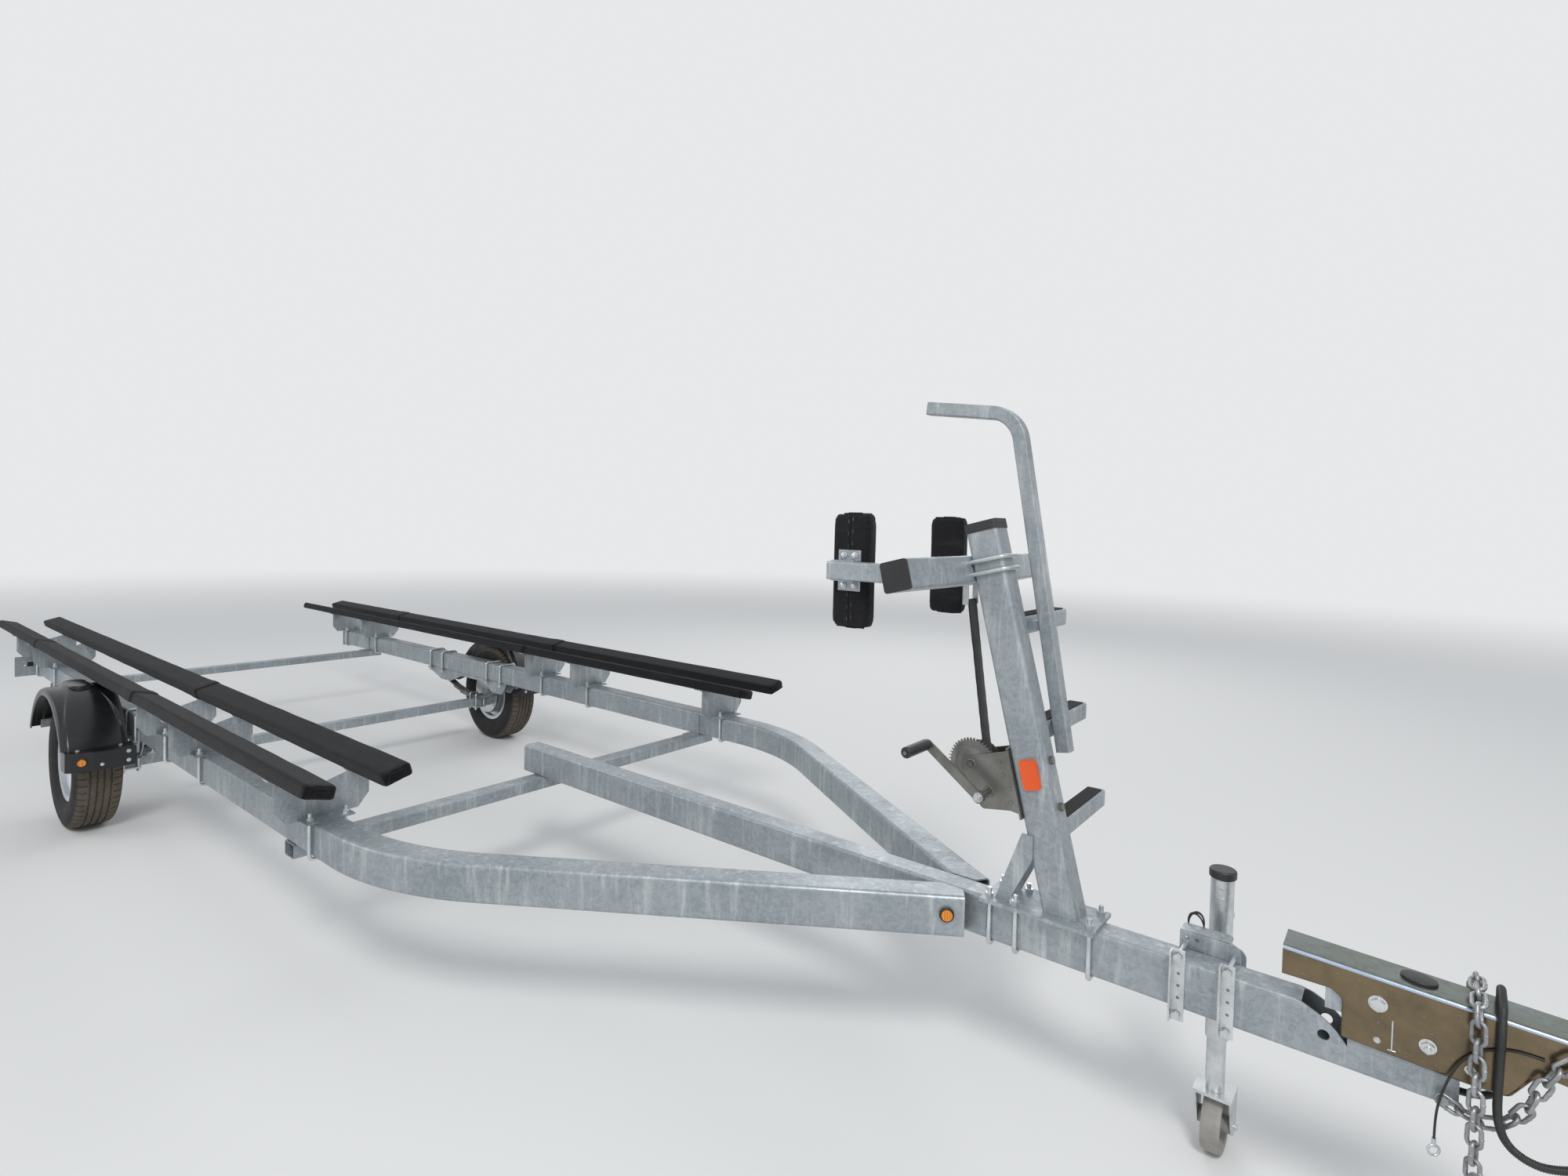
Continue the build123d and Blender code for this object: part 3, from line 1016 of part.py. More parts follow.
# surge coupler: a housing over the tongue's front that slides on the plates inside it, with the ball socket
HOUSE_W = 96.0
HOUSE_T = 4.0
HOUSE_X0 = TONGUE_X1 - 298.0
HOUSE_H = RAIL_Z1 + 113.0
HOUSE_FALL = 24.0
STRIP_X1 = HOUSE_X0 + 87.0
STRIP_Z = RAIL_Z1 + 48.0
SKIRT_X0 = CUT_X1 - 12.0
SLIDE_BACK = 60.0
house_x1 = BALL_X - 57.0
house_side = [
    (HOUSE_X0, STRIP_Z), (HOUSE_X0, HOUSE_H), (house_x1, HOUSE_H - HOUSE_FALL), (house_x1, BALL_Z - 4),
    (house_x1 - 78, BALL_Z + 6), (house_x1 - 118, RAIL_Z1 - 52), (TONGUE_X1 + 10, RAIL_Z1 - 54),
    (SKIRT_X0, RAIL_Z1 - 45), (SKIRT_X0, STRIP_Z - 14), (STRIP_X1, STRIP_Z),
]
house_round = [0, 0, 20, 14, 34, 18, 10, 4, 12, 12]


def rounded_xz(points, radii, y0, y1):
    face = make_face(FilletPolyline(*[(x, 0, z) for x, z in points], radius=radii, close=True))
    return extrude(face, amount=y1 - y0, dir=(0, 1, 0)).moved(Pos(0, y0, 0))


house = rounded_xz(house_side, house_round, -HOUSE_W / 2, HOUSE_W / 2)
top_edges = house.edges().filter_by(lambda e: abs(abs(e.center().Y) - HOUSE_W / 2) < 1)
long_edges = [e for e in top_edges if e.center().Z > HOUSE_H - HOUSE_FALL - 1 and e.length > 300]
house = fillet(long_edges, 9)
hollow = [
    (HOUSE_X0 - 9, RAIL_Z0 - 50), (HOUSE_X0 - 9, HOUSE_H - HOUSE_T + 0.5), (house_x1 - 6, HOUSE_H - HOUSE_FALL - HOUSE_T),
    (house_x1 - 6, RAIL_Z0 - 50),
]
house = house - outline_xz(hollow, HOUSE_T - HOUSE_W / 2, HOUSE_W / 2 - HOUSE_T)
HEAD_R = 38.0
HEAD_W = 68.0
head = Pos(BALL_X, 0, BALL_Z) * Sphere(HEAD_R) + rod((BALL_X, 0, BALL_Z - 12), (BALL_X, 0, BALL_Z), HEAD_R - 3)
neck = rounded_xz(
    [
        (house_x1 - 30, HOUSE_H - HOUSE_FALL - HOUSE_T), (house_x1 - 30, BALL_Z + 10), (BALL_X, BALL_Z - 6),
        (BALL_X + 12, BALL_Z + 28), (BALL_X - 22, HOUSE_H - HOUSE_FALL - 14),
    ],
    [0, 0, 0, 8, 20], -HEAD_W / 2, HEAD_W / 2,
)
head = (head + neck) & block(house_x1 - 40, BALL_X + HEAD_R, -HOUSE_W, HOUSE_W, BALL_Z - 12, HOUSE_H)
head = head - Pos(BALL_X, 0, BALL_Z) * Sphere(BALL_D / 2 + 0.4)
head = head - rod((BALL_X, 0, BALL_Z - 30), (BALL_X, 0, BALL_Z), BALL_D / 2 + 0.4)
coupler = house + head
# columns: back from the tongue's front end, above the rails' top, radius
HOUSE_BOLTS = ((131.0, 50.0, 9.0), (50.0, -3.0, 8.0))
surge_top = HOUSE_H - HOUSE_FALL - HOUSE_T - 8
cut_floor = RAIL_Z1 - CUT_DROP + FIT
surge_side = [
    (CUT_X1 + 1, cut_floor), (CUT_X1 + 1, RAIL_Z1 + 4), (CUT_X1 - 40, RAIL_Z1 + 4), (CUT_X1 - 40, surge_top),
    (TONGUE_X1, surge_top), (TONGUE_X1, cut_floor),
]
surge_frame = [
    outline_xz(surge_side, TONGUE_W / 2 - RAIL_WALL, TONGUE_W / 2),
    outline_xz(surge_side, -TONGUE_W / 2, RAIL_WALL - TONGUE_W / 2),
]
coupler_bolts = []
for back, above, r in HOUSE_BOLTS:
    x = TONGUE_X1 - back
    z = RAIL_Z1 + above
    free = r + 2 * FIT
    slot = block(x - SLIDE_BACK, x, -HOUSE_W, HOUSE_W, z - free, z + free)
    slot = slot + rod_y(x - SLIDE_BACK, z, free, -HOUSE_W, HOUSE_W) + rod_y(x, z, free, -HOUSE_W, HOUSE_W)
    surge_frame = [plate - slot for plate in surge_frame]
    coupler = coupler - rod_y(x, z, r, -HOUSE_W, HOUSE_W)
    bolt = rod_y(x, z, r, -HOUSE_W / 2, HOUSE_W / 2)
    for y0 in (-HOUSE_W / 2 - 8, HOUSE_W / 2):
        bolt = bolt + rod_y(x, z, r + 6, y0, y0 + 8)
    coupler_bolts.append(bolt)
save("surge_frame", surge_frame)
save("coupler_bolts", coupler_bolts)
CAP_AHEAD = 233.0
CAP_L = 56.0
cap_z = HOUSE_H - HOUSE_FALL * CAP_AHEAD / (house_x1 - HOUSE_X0)
oval = Pos(HOUSE_X0 + CAP_AHEAD, 0, cap_z - 3) * Rot(0, math.degrees(math.atan(HOUSE_FALL / (house_x1 - HOUSE_X0))), 0)
coupler = coupler + oval * extrude(SlotOverall(CAP_L, 0.6 * CAP_L), amount=6)
LATCH_PIN_R = 5.0
LATCH_EAR_T = 4.0
LATCH_RISE = 46.0
latch_x = house_x1 - 8.0
latch_z = HOUSE_H - HOUSE_FALL + LATCH_RISE
for y0 in (-20, 16):
    ear = block(latch_x - 8, latch_x + 8, y0, y0 + LATCH_EAR_T, latch_z - LATCH_RISE - 6, latch_z + 8)
    coupler = coupler + ear
coupler = coupler + rod_y(latch_x, latch_z, LATCH_PIN_R, -24, 24)
save("coupler", [coupler])
LATCH_LEN = 68.0
latch_side = [
    (latch_x - 10, latch_z - 8), (latch_x - 10, latch_z + 9), (latch_x + 20, latch_z + 9), (latch_x + LATCH_LEN, latch_z + 3),
    (latch_x + LATCH_LEN, latch_z - 3), (latch_x + 14, latch_z - 7),
]
latch = rounded_xz(latch_side, [5, 5, 20, 2, 2, 10], -14, 14)
save("coupler_latch", [latch - rod_y(latch_x, latch_z, LATCH_PIN_R + FIT, -HOUSE_W, HOUSE_W)])

# safety chains: threaded links along a route, every other link turned a quarter, the last one larger
LINK_R = 4.0
LINK_PITCH = 32.0
LINK_W = 30.0
LINK_PLAY = 0.8
LINK_REST = 15.0
ANCHOR_R = 5.0
ANCHOR_Y = 54.0
ANCHOR_BACK = 24.0
ANCHOR_RISE = 20.0
END_SCALE = 1.35


def link(scale=1.0):
    # a ring of straight bars with six sides, long along X and flat in XY
    long_half = (LINK_PITCH + LINK_PLAY) / 2 + LINK_R
    wide_half = LINK_W / 2 - LINK_R
    flat = 0.5 * wide_half
    bend = 0.32 * long_half
    quarter = [(long_half - bend, wide_half), (long_half, flat), (long_half, -flat), (long_half - bend, -wide_half)]
    ring = [(0, wide_half)] + quarter + [(-x, y) for x, y in reversed(quarter)] + [(0, wide_half)]
    path = Polyline(*[(x * scale, y * scale, 0) for x, y in ring])
    section = Plane(origin=path @ 0, z_dir=(1, 0, 0)) * RegularPolygon(LINK_R * scale, 6, rotation=30)
    return sweep(section, path=path, transition=Transition.RIGHT)


def chain_joints(route):
    # joints one pitch apart along the straight runs of a route
    points = [Vector(*p) for p in route]
    joints = [points[0]]
    for start, end in zip(points, points[1:]):
        steps = max(int((end - start).length), 1)
        for k in range(1, steps + 1):
            here = start + (end - start) * (k / steps)
            if (here - joints[-1]).length >= LINK_PITCH:
                joints.append(here)
    return joints


def chain(route, flat):
    # flat is the side that the first link lies against
    links = []
    joints = chain_joints(route)
    normal = Vector(*flat)
    for k, (start, end) in enumerate(zip(joints, joints[1:])):
        along = (end - start).normalized()
        normal = (normal - along * normal.dot(along)).normalized()
        facing = normal if k % 2 == 0 else along.cross(normal)
        place = Plane(origin=(start + end) * 0.5, x_dir=along, z_dir=facing)
        links.append(place * link())
    last = joints[-1] + along * (END_SCALE - 1) * LINK_PITCH / 2
    place = Plane(origin=last + along * LINK_PITCH / 2, x_dir=along, z_dir=along.cross(facing))
    links.append(place * link(END_SCALE))
    return links


anchor_x = TONGUE_X1 - ANCHOR_BACK
anchor_z = RAIL_Z0 + ANCHOR_RISE
first_x = anchor_x - ANCHOR_R - LINK_PLAY / 2
side_y = HOUSE_W / 2 + LINK_REST
NECK_X = BALL_X - 34.0
# routes: x, y, z of the points that the chains pass
NEAR_ROUTE = (
    (first_x, -ANCHOR_Y, anchor_z + 1), (TONGUE_X1 + 8, -ANCHOR_Y, anchor_z - 14), (TONGUE_X1 + 38, -46, anchor_z - 24),
    (TONGUE_X1 + 66, -46, anchor_z - 10), (TONGUE_X1 + 92, -58, anchor_z + 30), (TONGUE_X1 + 112, -side_y, anchor_z + 90),
    (TONGUE_X1 + 140, -side_y, anchor_z + 144), (NECK_X - 32, -65, anchor_z + 172), (NECK_X - 14, -58, anchor_z + 192),
    (NECK_X - 2, -36, anchor_z + 208), (NECK_X, -6, anchor_z + 200), (NECK_X, 20, anchor_z + 200),
    (NECK_X, 46, anchor_z + 188), (NECK_X, 63, anchor_z + 160), (NECK_X, 62, anchor_z + 120), (NECK_X, 60, anchor_z - 40),
)
FAR_X = TONGUE_X1 + 22.0
FAR_ROUTE = (
    (first_x, ANCHOR_Y, anchor_z - 1), (FAR_X - 22, ANCHOR_Y + 1, anchor_z + 11), (FAR_X - 6, side_y, anchor_z + 38),
    (FAR_X, 69, anchor_z + 76), (FAR_X, 73, anchor_z + 167), (FAR_X, 60, anchor_z + 202), (FAR_X, 32, anchor_z + 218),
    (FAR_X, 6, anchor_z + 210), (FAR_X, -20, anchor_z + 210), (FAR_X, -40, anchor_z + 216), (FAR_X, -66, anchor_z + 200),
    (FAR_X, -80, anchor_z + 170), (FAR_X, -83, anchor_z + 60), (FAR_X, -89, anchor_z - 130),
)
anchors = []
for side in SIDES:
    stud = rod_y(anchor_x, anchor_z, ANCHOR_R, side * TONGUE_W / 2, side * (ANCHOR_Y + 6))
    anchors.append(stud + rod_y(anchor_x, anchor_z, 2 * ANCHOR_R, side * (ANCHOR_Y + 5), side * (ANCHOR_Y + 8)))
save("safety_chains", anchors + chain(NEAR_ROUTE, (0, 1, 0)) + chain(FAR_ROUTE, (0, 1, 0)))


# cords: the wiring in its sleeve, draped over the housing, and the thin breakaway cable with its ring
def cord(name, points, r):
    radii = []
    for before, corner, after in zip(points, points[1:], points[2:]):
        run_in = Vector(*corner) - Vector(*before)
        run_out = Vector(*after) - Vector(*corner)
        turn = math.radians(run_in.get_angle(run_out))
        radii.append(0.45 * min(run_in.length, run_out.length) / math.tan(turn / 2))
    path = FilletPolyline(*points, radius=radii)
    start = Plane(origin=points[0], z_dir=(Vector(*points[1]) - Vector(*points[0])).normalized())
    tube = sweep(start * Circle(r), path=path)
    share = tube.volume / (math.pi * r * r * path.length)
    print(name, "radii", [round(radius) for radius in radii], "length", round(path.length), "volume share", round(share, 4))
    save(name, [tube])


LOOM_R = 7.5
LOOM_Z0 = RAIL_Z0 + RAIL_WALL + LOOM_R
LOOM_ROUTE = (
    (3640.0, 12.0, LOOM_Z0), (3690.0, 12.0, LOOM_Z0), (3724.0, 14.0, 466.0), (3748.0, 30.0, 474.0),
    (3760.0, 54.0, 492.0), (3758.0, 65.0, 532.0), (3753.0, 66.0, 585.0), (3750.0, 65.0, 638.0),
    (3749.0, 52.0, 676.0), (3748.0, 20.0, 681.0), (3747.0, -20.0, 680.0), (3746.0, -53.0, 675.0),
    (3745.0, -66.0, 638.0), (3744.0, -65.0, 585.0), (3743.0, -67.0, 532.0), (3743.0, -71.0, 480.0),
    (3755.0, -72.0, 440.0), (3785.0, -70.0, 419.0), (3822.0, -66.0, 417.0), (3856.0, -60.0, 432.0),
)
CABLE_R = 2.2
CABLE_ROUTE = (
    (3806.0, -51.5, 606.0), (3776.0, -51.2, 608.0), (3743.0, -51.0, 600.0), (3713.0, -51.4, 583.0), (3689.0, -54.0, 556.0),
    (3672.0, -61.0, 517.0), (3660.0, -67.0, 474.0), (3655.0, -68.0, 434.0), (3655.0, -68.0, 396.0),
)
cord("wiring_loom", LOOM_ROUTE, LOOM_R)
cord("breakaway_cable", CABLE_ROUTE, CABLE_R)
PLUG_L = 44.0
PLUG_W = 26.0
PLUG_T = 20.0
out = (Vector(*LOOM_ROUTE[-1]) - Vector(*LOOM_ROUTE[-2])).normalized()
plug = Box(PLUG_W, PLUG_T, PLUG_L, align=(Align.CENTER, Align.CENTER, Align.MIN))
plug = fillet(plug.edges().filter_by(Axis.Z), 6)
plug = fillet(plug.faces().sort_by(Axis.Z)[-1].edges(), 3)
save("loom_plug", [Plane(origin=LOOM_ROUTE[-1], x_dir=out.cross(Vector(0, 0, 1)), z_dir=out) * plug])
RING_MID = 20.0
RING_WIRE_R = 2.6
FERRULE_LEN = 16.0
end = CABLE_ROUTE[-1]
ferrule = rod(end, (end[0], end[1], end[2] - FERRULE_LEN), 1.7 * CABLE_R)
ring_z = end[2] - FERRULE_LEN - RING_MID / 2 + RING_WIRE_R
ring = Plane(origin=(end[0], end[1], ring_z), x_dir=(1, 0, 0), z_dir=(0.5, -0.866, 0)) * Torus(RING_MID / 2, RING_WIRE_R)
save("cable_hook", [ferrule + ring])
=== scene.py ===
import bpy
import bmesh
import json
import math
from mathutils import Matrix, Vector, noise


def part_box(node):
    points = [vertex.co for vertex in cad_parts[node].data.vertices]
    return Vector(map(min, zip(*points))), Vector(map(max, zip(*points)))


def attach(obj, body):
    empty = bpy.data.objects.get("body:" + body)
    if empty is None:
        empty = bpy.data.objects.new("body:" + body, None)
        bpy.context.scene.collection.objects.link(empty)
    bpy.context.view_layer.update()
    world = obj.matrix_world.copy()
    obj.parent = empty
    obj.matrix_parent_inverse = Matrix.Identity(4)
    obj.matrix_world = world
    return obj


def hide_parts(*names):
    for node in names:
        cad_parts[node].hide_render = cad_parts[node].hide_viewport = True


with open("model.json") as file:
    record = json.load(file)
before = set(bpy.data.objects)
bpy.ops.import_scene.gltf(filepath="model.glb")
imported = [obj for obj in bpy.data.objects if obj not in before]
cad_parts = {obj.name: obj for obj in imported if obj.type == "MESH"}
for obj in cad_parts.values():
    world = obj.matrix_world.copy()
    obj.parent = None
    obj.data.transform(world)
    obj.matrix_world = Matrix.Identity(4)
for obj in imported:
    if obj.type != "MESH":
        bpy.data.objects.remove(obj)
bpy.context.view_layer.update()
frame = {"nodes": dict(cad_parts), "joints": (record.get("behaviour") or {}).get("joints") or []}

# Turning points that several pieces share, from the frame's joints
pivots = {joint["name"]: joint["pos_m"] for joint in frame["joints"] if "pos_m" in joint}
wheelX, wheelY, wheelZ = pivots["wheel_left_spin"]
drumX, _, drumZ = pivots["winch_drum_spin"]
crankX, _, crankZ = pivots["winch_crank_spin"]
jackX, jackY, jackZ = pivots["jack_swing"]


def middleOf(low, high):
    return [(a + b) / 2 for a, b in zip(low, high)]


# Camera: the photograph's own viewing angle, worked out for a 2000 x 1500 picture
viewSettings = {
    "place": (3.598, -2.0595, 1.5559),
    "looksAlong": (-0.62071, 0.78359, -0.02656),
    "roll": 0.025,
    "focalPixels": 1025.28,
    "centrePixel": (1003.44, 693.38),
    "pictureSize": (2000, 1500),
}


def addCamera(settings):
    ahead = Vector(settings["looksAlong"]).normalized()
    level = ahead.cross(Vector((0, 0, 1))).normalized()
    above = level.cross(ahead)
    c, s = math.cos(settings["roll"]), math.sin(settings["roll"])
    right = level * c + above * s
    up = above * c - level * s
    width, height = settings["pictureSize"]
    lens = bpy.data.cameras.new("photoCamera")
    lens.sensor_width = 36.0
    lens.lens = 36.0 * settings["focalPixels"] / width
    lens.shift_x = (width / 2 - settings["centrePixel"][0]) / width
    lens.shift_y = (settings["centrePixel"][1] - height / 2) / width
    lens.clip_start = 0.02
    lens.clip_end = 200.0
    camera = bpy.data.objects.new("photoCamera", lens)
    turned = Matrix((right, up, -ahead)).transposed().to_4x4()
    camera.matrix_world = Matrix.Translation(settings["place"]) @ turned
    bpy.context.scene.collection.objects.link(camera)
    bpy.context.scene.camera = camera


addCamera(viewSettings)
bpy.context.scene.view_settings.view_transform = "Standard"
print("camera set")

# Studio: a pale floor, a pale room and three soft lamps
studioSettings = {
    "floorHalf": 60.0,
    "floorColour": (0.78, 0.78, 0.77, 1),
    "floorRough": 0.9,
    "roomColour": (0.80, 0.83, 0.87, 1),
    "roomLight": 0.72,
    "seenColour": (0.80, 0.81, 0.82, 1),
    "fade": (7.0, 22.0),  # distance from the middle where the floor starts and ends its fade
    "lamps": (
        {"name": "keyLamp", "place": (6.0, -4.5, 7.0), "aim": (0.8, 0, 0.5), "size": 2.2, "watts": 330},
        {"name": "fillLamp", "place": (-4.5, -6.5, 4.5), "aim": (-1.5, 0, 0.5), "size": 5.0, "watts": 90},
        {"name": "backLamp", "place": (-1.0, 7.0, 5.5), "aim": (0.5, 0, 0.6), "size": 5.0, "watts": 110},
    ),
}


def shownRays(nodes, links):
    # 1 for what the camera sees directly, in a mirror or through glass
    path = nodes.new("ShaderNodeLightPath")
    either = nodes.new("ShaderNodeMath")
    either.operation = "MAXIMUM"
    links.new(path.outputs["Is Glossy Ray"], either.inputs[0])
    links.new(path.outputs["Is Transmission Ray"], either.inputs[1])
    shown = nodes.new("ShaderNodeMath")
    shown.operation = "MAXIMUM"
    links.new(path.outputs["Is Camera Ray"], shown.inputs[0])
    links.new(either.outputs["Value"], shown.inputs[1])
    return shown.outputs["Value"]


def addFloor(settings):
    # the floor fades into the room's colour with distance, for what the camera sees
    bpy.ops.mesh.primitive_plane_add(size=2 * settings["floorHalf"], location=(0, 0, 0))
    floor = bpy.context.object
    floor.name = "studioFloor"
    stuff = bpy.data.materials.new("studioFloor")
    stuff.use_nodes = True
    shader = stuff.node_tree.nodes["Principled BSDF"]
    shader.inputs["Base Color"].default_value = settings["floorColour"]
    shader.inputs["Roughness"].default_value = settings["floorRough"]
    shader.inputs["Specular IOR Level"].default_value = 0.2
    nodes, links = stuff.node_tree.nodes, stuff.node_tree.links
    faded = nodes.new("ShaderNodeEmission")
    faded.inputs["Color"].default_value = settings["seenColour"]
    coords = nodes.new("ShaderNodeTexCoord")
    far = nodes.new("ShaderNodeVectorMath")
    far.operation = "LENGTH"
    links.new(coords.outputs["Object"], far.inputs[0])
    reach = nodes.new("ShaderNodeMapRange")
    reach.interpolation_type = "SMOOTHSTEP"
    reach.inputs["From Min"].default_value, reach.inputs["From Max"].default_value = settings["fade"]
    links.new(far.outputs["Value"], reach.inputs["Value"])
    share = nodes.new("ShaderNodeMath")
    share.operation = "MULTIPLY"
    links.new(reach.outputs["Result"], share.inputs[0])
    links.new(shownRays(nodes, links), share.inputs[1])
    mix = nodes.new("ShaderNodeMixShader")
    links.new(share.outputs["Value"], mix.inputs["Fac"])
    links.new(shader.outputs["BSDF"], mix.inputs[1])
    links.new(faded.outputs["Emission"], mix.inputs[2])
    links.new(mix.outputs["Shader"], nodes["Material Output"].inputs["Surface"])
    floor.data.materials.append(stuff)


def addLamps(lamps):
    for lamp in lamps:
        light = bpy.data.lights.new(lamp["name"], "AREA")
        light.shape = "DISK"
        light.size = lamp["size"]
        light.energy = lamp["watts"]
        holder = bpy.data.objects.new(lamp["name"], light)
        holder.location = lamp["place"]
        aim = Vector(lamp["aim"]) - Vector(lamp["place"])
        holder.rotation_euler = aim.to_track_quat("-Z", "Y").to_euler()
        bpy.context.scene.collection.objects.link(holder)


def addRoom(settings):
    # the room lights the scene with one colour and shows another
    room = bpy.data.worlds.new("studioRoom")
    bpy.context.scene.world = room
    room.use_nodes = True
    nodes, links = room.node_tree.nodes, room.node_tree.links
    nodes.clear()
    out = nodes.new("ShaderNodeOutputWorld")
    lit = nodes.new("ShaderNodeBackground")
    lit.inputs["Color"].default_value = settings["roomColour"]
    lit.inputs["Strength"].default_value = settings["roomLight"]
    seen = nodes.new("ShaderNodeBackground")
    seen.inputs["Color"].default_value = settings["seenColour"]
    seen.inputs["Strength"].default_value = 1.0
    mix = nodes.new("ShaderNodeMixShader")
    links.new(shownRays(nodes, links), mix.inputs["Fac"])
    links.new(lit.outputs["Background"], mix.inputs[1])
    links.new(seen.outputs["Background"], mix.inputs[2])
    links.new(mix.outputs["Shader"], out.inputs["Surface"])


addFloor(studioSettings)
addLamps(studioSettings["lamps"])
addRoom(studioSettings)
print("studio set")


# Shader building: each helper adds one node and gives back its output
class Paint:
    def __init__(self, name, colour, rough, metal=0.0, specular=0.5):
        self.stuff = bpy.data.materials.new(name)
        self.stuff.use_nodes = True
        self.nodes = self.stuff.node_tree.nodes
        self.links = self.stuff.node_tree.links
        self.shader = self.nodes["Principled BSDF"]
        self.shader.inputs["Base Color"].default_value = (*colour, 1)
        self.shader.inputs["Roughness"].default_value = rough
        self.shader.inputs["Metallic"].default_value = metal
        self.shader.inputs["Specular IOR Level"].default_value = specular
        self.place = self.nodes.new("ShaderNodeTexCoord").outputs["Object"]

    def feed(self, socket, value):
        if isinstance(value, bpy.types.NodeSocket):
            self.links.new(value, socket)
        else:
            socket.default_value = value

    def mapped(self, scale, turn=(0, 0, 0)):
        node = self.nodes.new("ShaderNodeMapping")
        self.links.new(self.place, node.inputs["Vector"])
        node.inputs["Scale"].default_value = scale
        node.inputs["Rotation"].default_value = turn
        return node.outputs["Vector"]

    def noise(self, vector, scale, detail, rough):
        node = self.nodes.new("ShaderNodeTexNoise")
        self.links.new(vector, node.inputs["Vector"])
        node.inputs["Scale"].default_value = scale
        node.inputs["Detail"].default_value = detail
        node.inputs["Roughness"].default_value = rough
        return node.outputs["Fac"]

    def cells(self, vector, scale, output="Color", uneven=1.0):
        node = self.nodes.new("ShaderNodeTexVoronoi")
        self.links.new(vector, node.inputs["Vector"])
        node.inputs["Scale"].default_value = scale
        node.inputs["Randomness"].default_value = uneven
        return node.outputs[output]

    def bands(self, vector, scale, axis, distort=0.0):
        node = self.nodes.new("ShaderNodeTexWave")
        node.bands_direction = axis
        self.links.new(vector, node.inputs["Vector"])
        node.inputs["Scale"].default_value = scale
        node.inputs["Distortion"].default_value = distort
        node.inputs["Detail Scale"].default_value = 1.0
        return node.outputs["Fac"]

    def remap(self, value, low, high, start=0.0, end=1.0):
        node = self.nodes.new("ShaderNodeMapRange")
        self.links.new(value, node.inputs["Value"])
        node.inputs["From Min"].default_value = low
        node.inputs["From Max"].default_value = high
        node.inputs["To Min"].default_value = start
        node.inputs["To Max"].default_value = end
        return node.outputs["Result"]

    def maths(self, kind, first, second=0.0):
        node = self.nodes.new("ShaderNodeMath")
        node.operation = kind
        self.feed(node.inputs[0], first)
        self.feed(node.inputs[1], second)
        return node.outputs["Value"]

    def split(self, vector):
        node = self.nodes.new("ShaderNodeSeparateXYZ")
        self.links.new(vector, node.inputs["Vector"])
        return node.outputs["X"], node.outputs["Y"], node.outputs["Z"]

    def mix(self, share, first, second):
        node = self.nodes.new("ShaderNodeMix")
        node.data_type = "RGBA"
        self.feed(node.inputs["Factor"], share)
        for key, value in (("A", first), ("B", second)):
            socket = [s for s in node.inputs if s.name == key and s.type == "RGBA"][0]
            self.feed(socket, value if isinstance(value, bpy.types.NodeSocket) else (*value, 1))
        return [s for s in node.outputs if s.type == "RGBA"][0]

    def bump(self, height, strength, depth):
        node = self.nodes.new("ShaderNodeBump")
        node.inputs["Strength"].default_value = strength
        node.inputs["Distance"].default_value = depth
        self.links.new(height, node.inputs["Height"])
        self.links.new(node.outputs["Normal"], self.shader.inputs["Normal"])

    def finish(self, colour=None, rough=None):
        if colour is not None:
            self.links.new(colour, self.shader.inputs["Base Color"])
        if rough is not None:
            self.links.new(rough, self.shader.inputs["Roughness"])
        return self.stuff


# Galvanised steel: crystals of zinc, cloudy patches, pale runs and a little dust
galvSettings = {
    "dark": (0.205, 0.240, 0.265), "mid": (0.43, 0.468, 0.49), "pale": (0.70, 0.72, 0.72),
    "crystalSize": 0.011, "cloudSize": 0.28, "runs": 0.55, "metal": 0.55, "rough": (0.34, 0.58),
}


def galvanised(name, settings):
    paint = Paint(name, settings["mid"], 0.45, settings["metal"])
    crystal = paint.split(paint.cells(paint.place, 1 / settings["crystalSize"]))[0]
    clouds = paint.noise(paint.place, 1 / settings["cloudSize"], 6, 0.62)
    fine = paint.noise(paint.place, 170, 4, 0.7)
    crystalShare = paint.remap(crystal, 0, 1, -0.15, 0.15)
    share = paint.maths("ADD", crystalShare, paint.remap(clouds, 0.22, 0.78, 0.12, 0.88))
    share = paint.maths("ADD", share, paint.remap(fine, 0.3, 0.7, -0.17, 0.17))
    colour = paint.mix(paint.remap(share, -0.1, 1.0), settings["dark"], settings["mid"])
    runs = paint.noise(paint.mapped((16, 16, 1.6)), 2.2, 5, 0.7)
    runs = paint.maths("MULTIPLY", paint.remap(runs, 0.52, 0.72), settings["runs"])
    colour = paint.mix(runs, colour, settings["pale"])
    scuffs = paint.noise(paint.mapped((3, 22, 22), (0, 0, 0.2)), 6, 4, 0.6)
    colour = paint.mix(paint.remap(scuffs, 0.60, 0.78, 0, 0.28), colour, settings["pale"])
    paint.bump(paint.maths("ADD", fine, paint.maths("MULTIPLY", crystal, 0.35)), 0.10, 0.0015)
    low, high = settings["rough"]
    return paint.finish(colour, paint.remap(clouds, 0.3, 0.7, high, low))


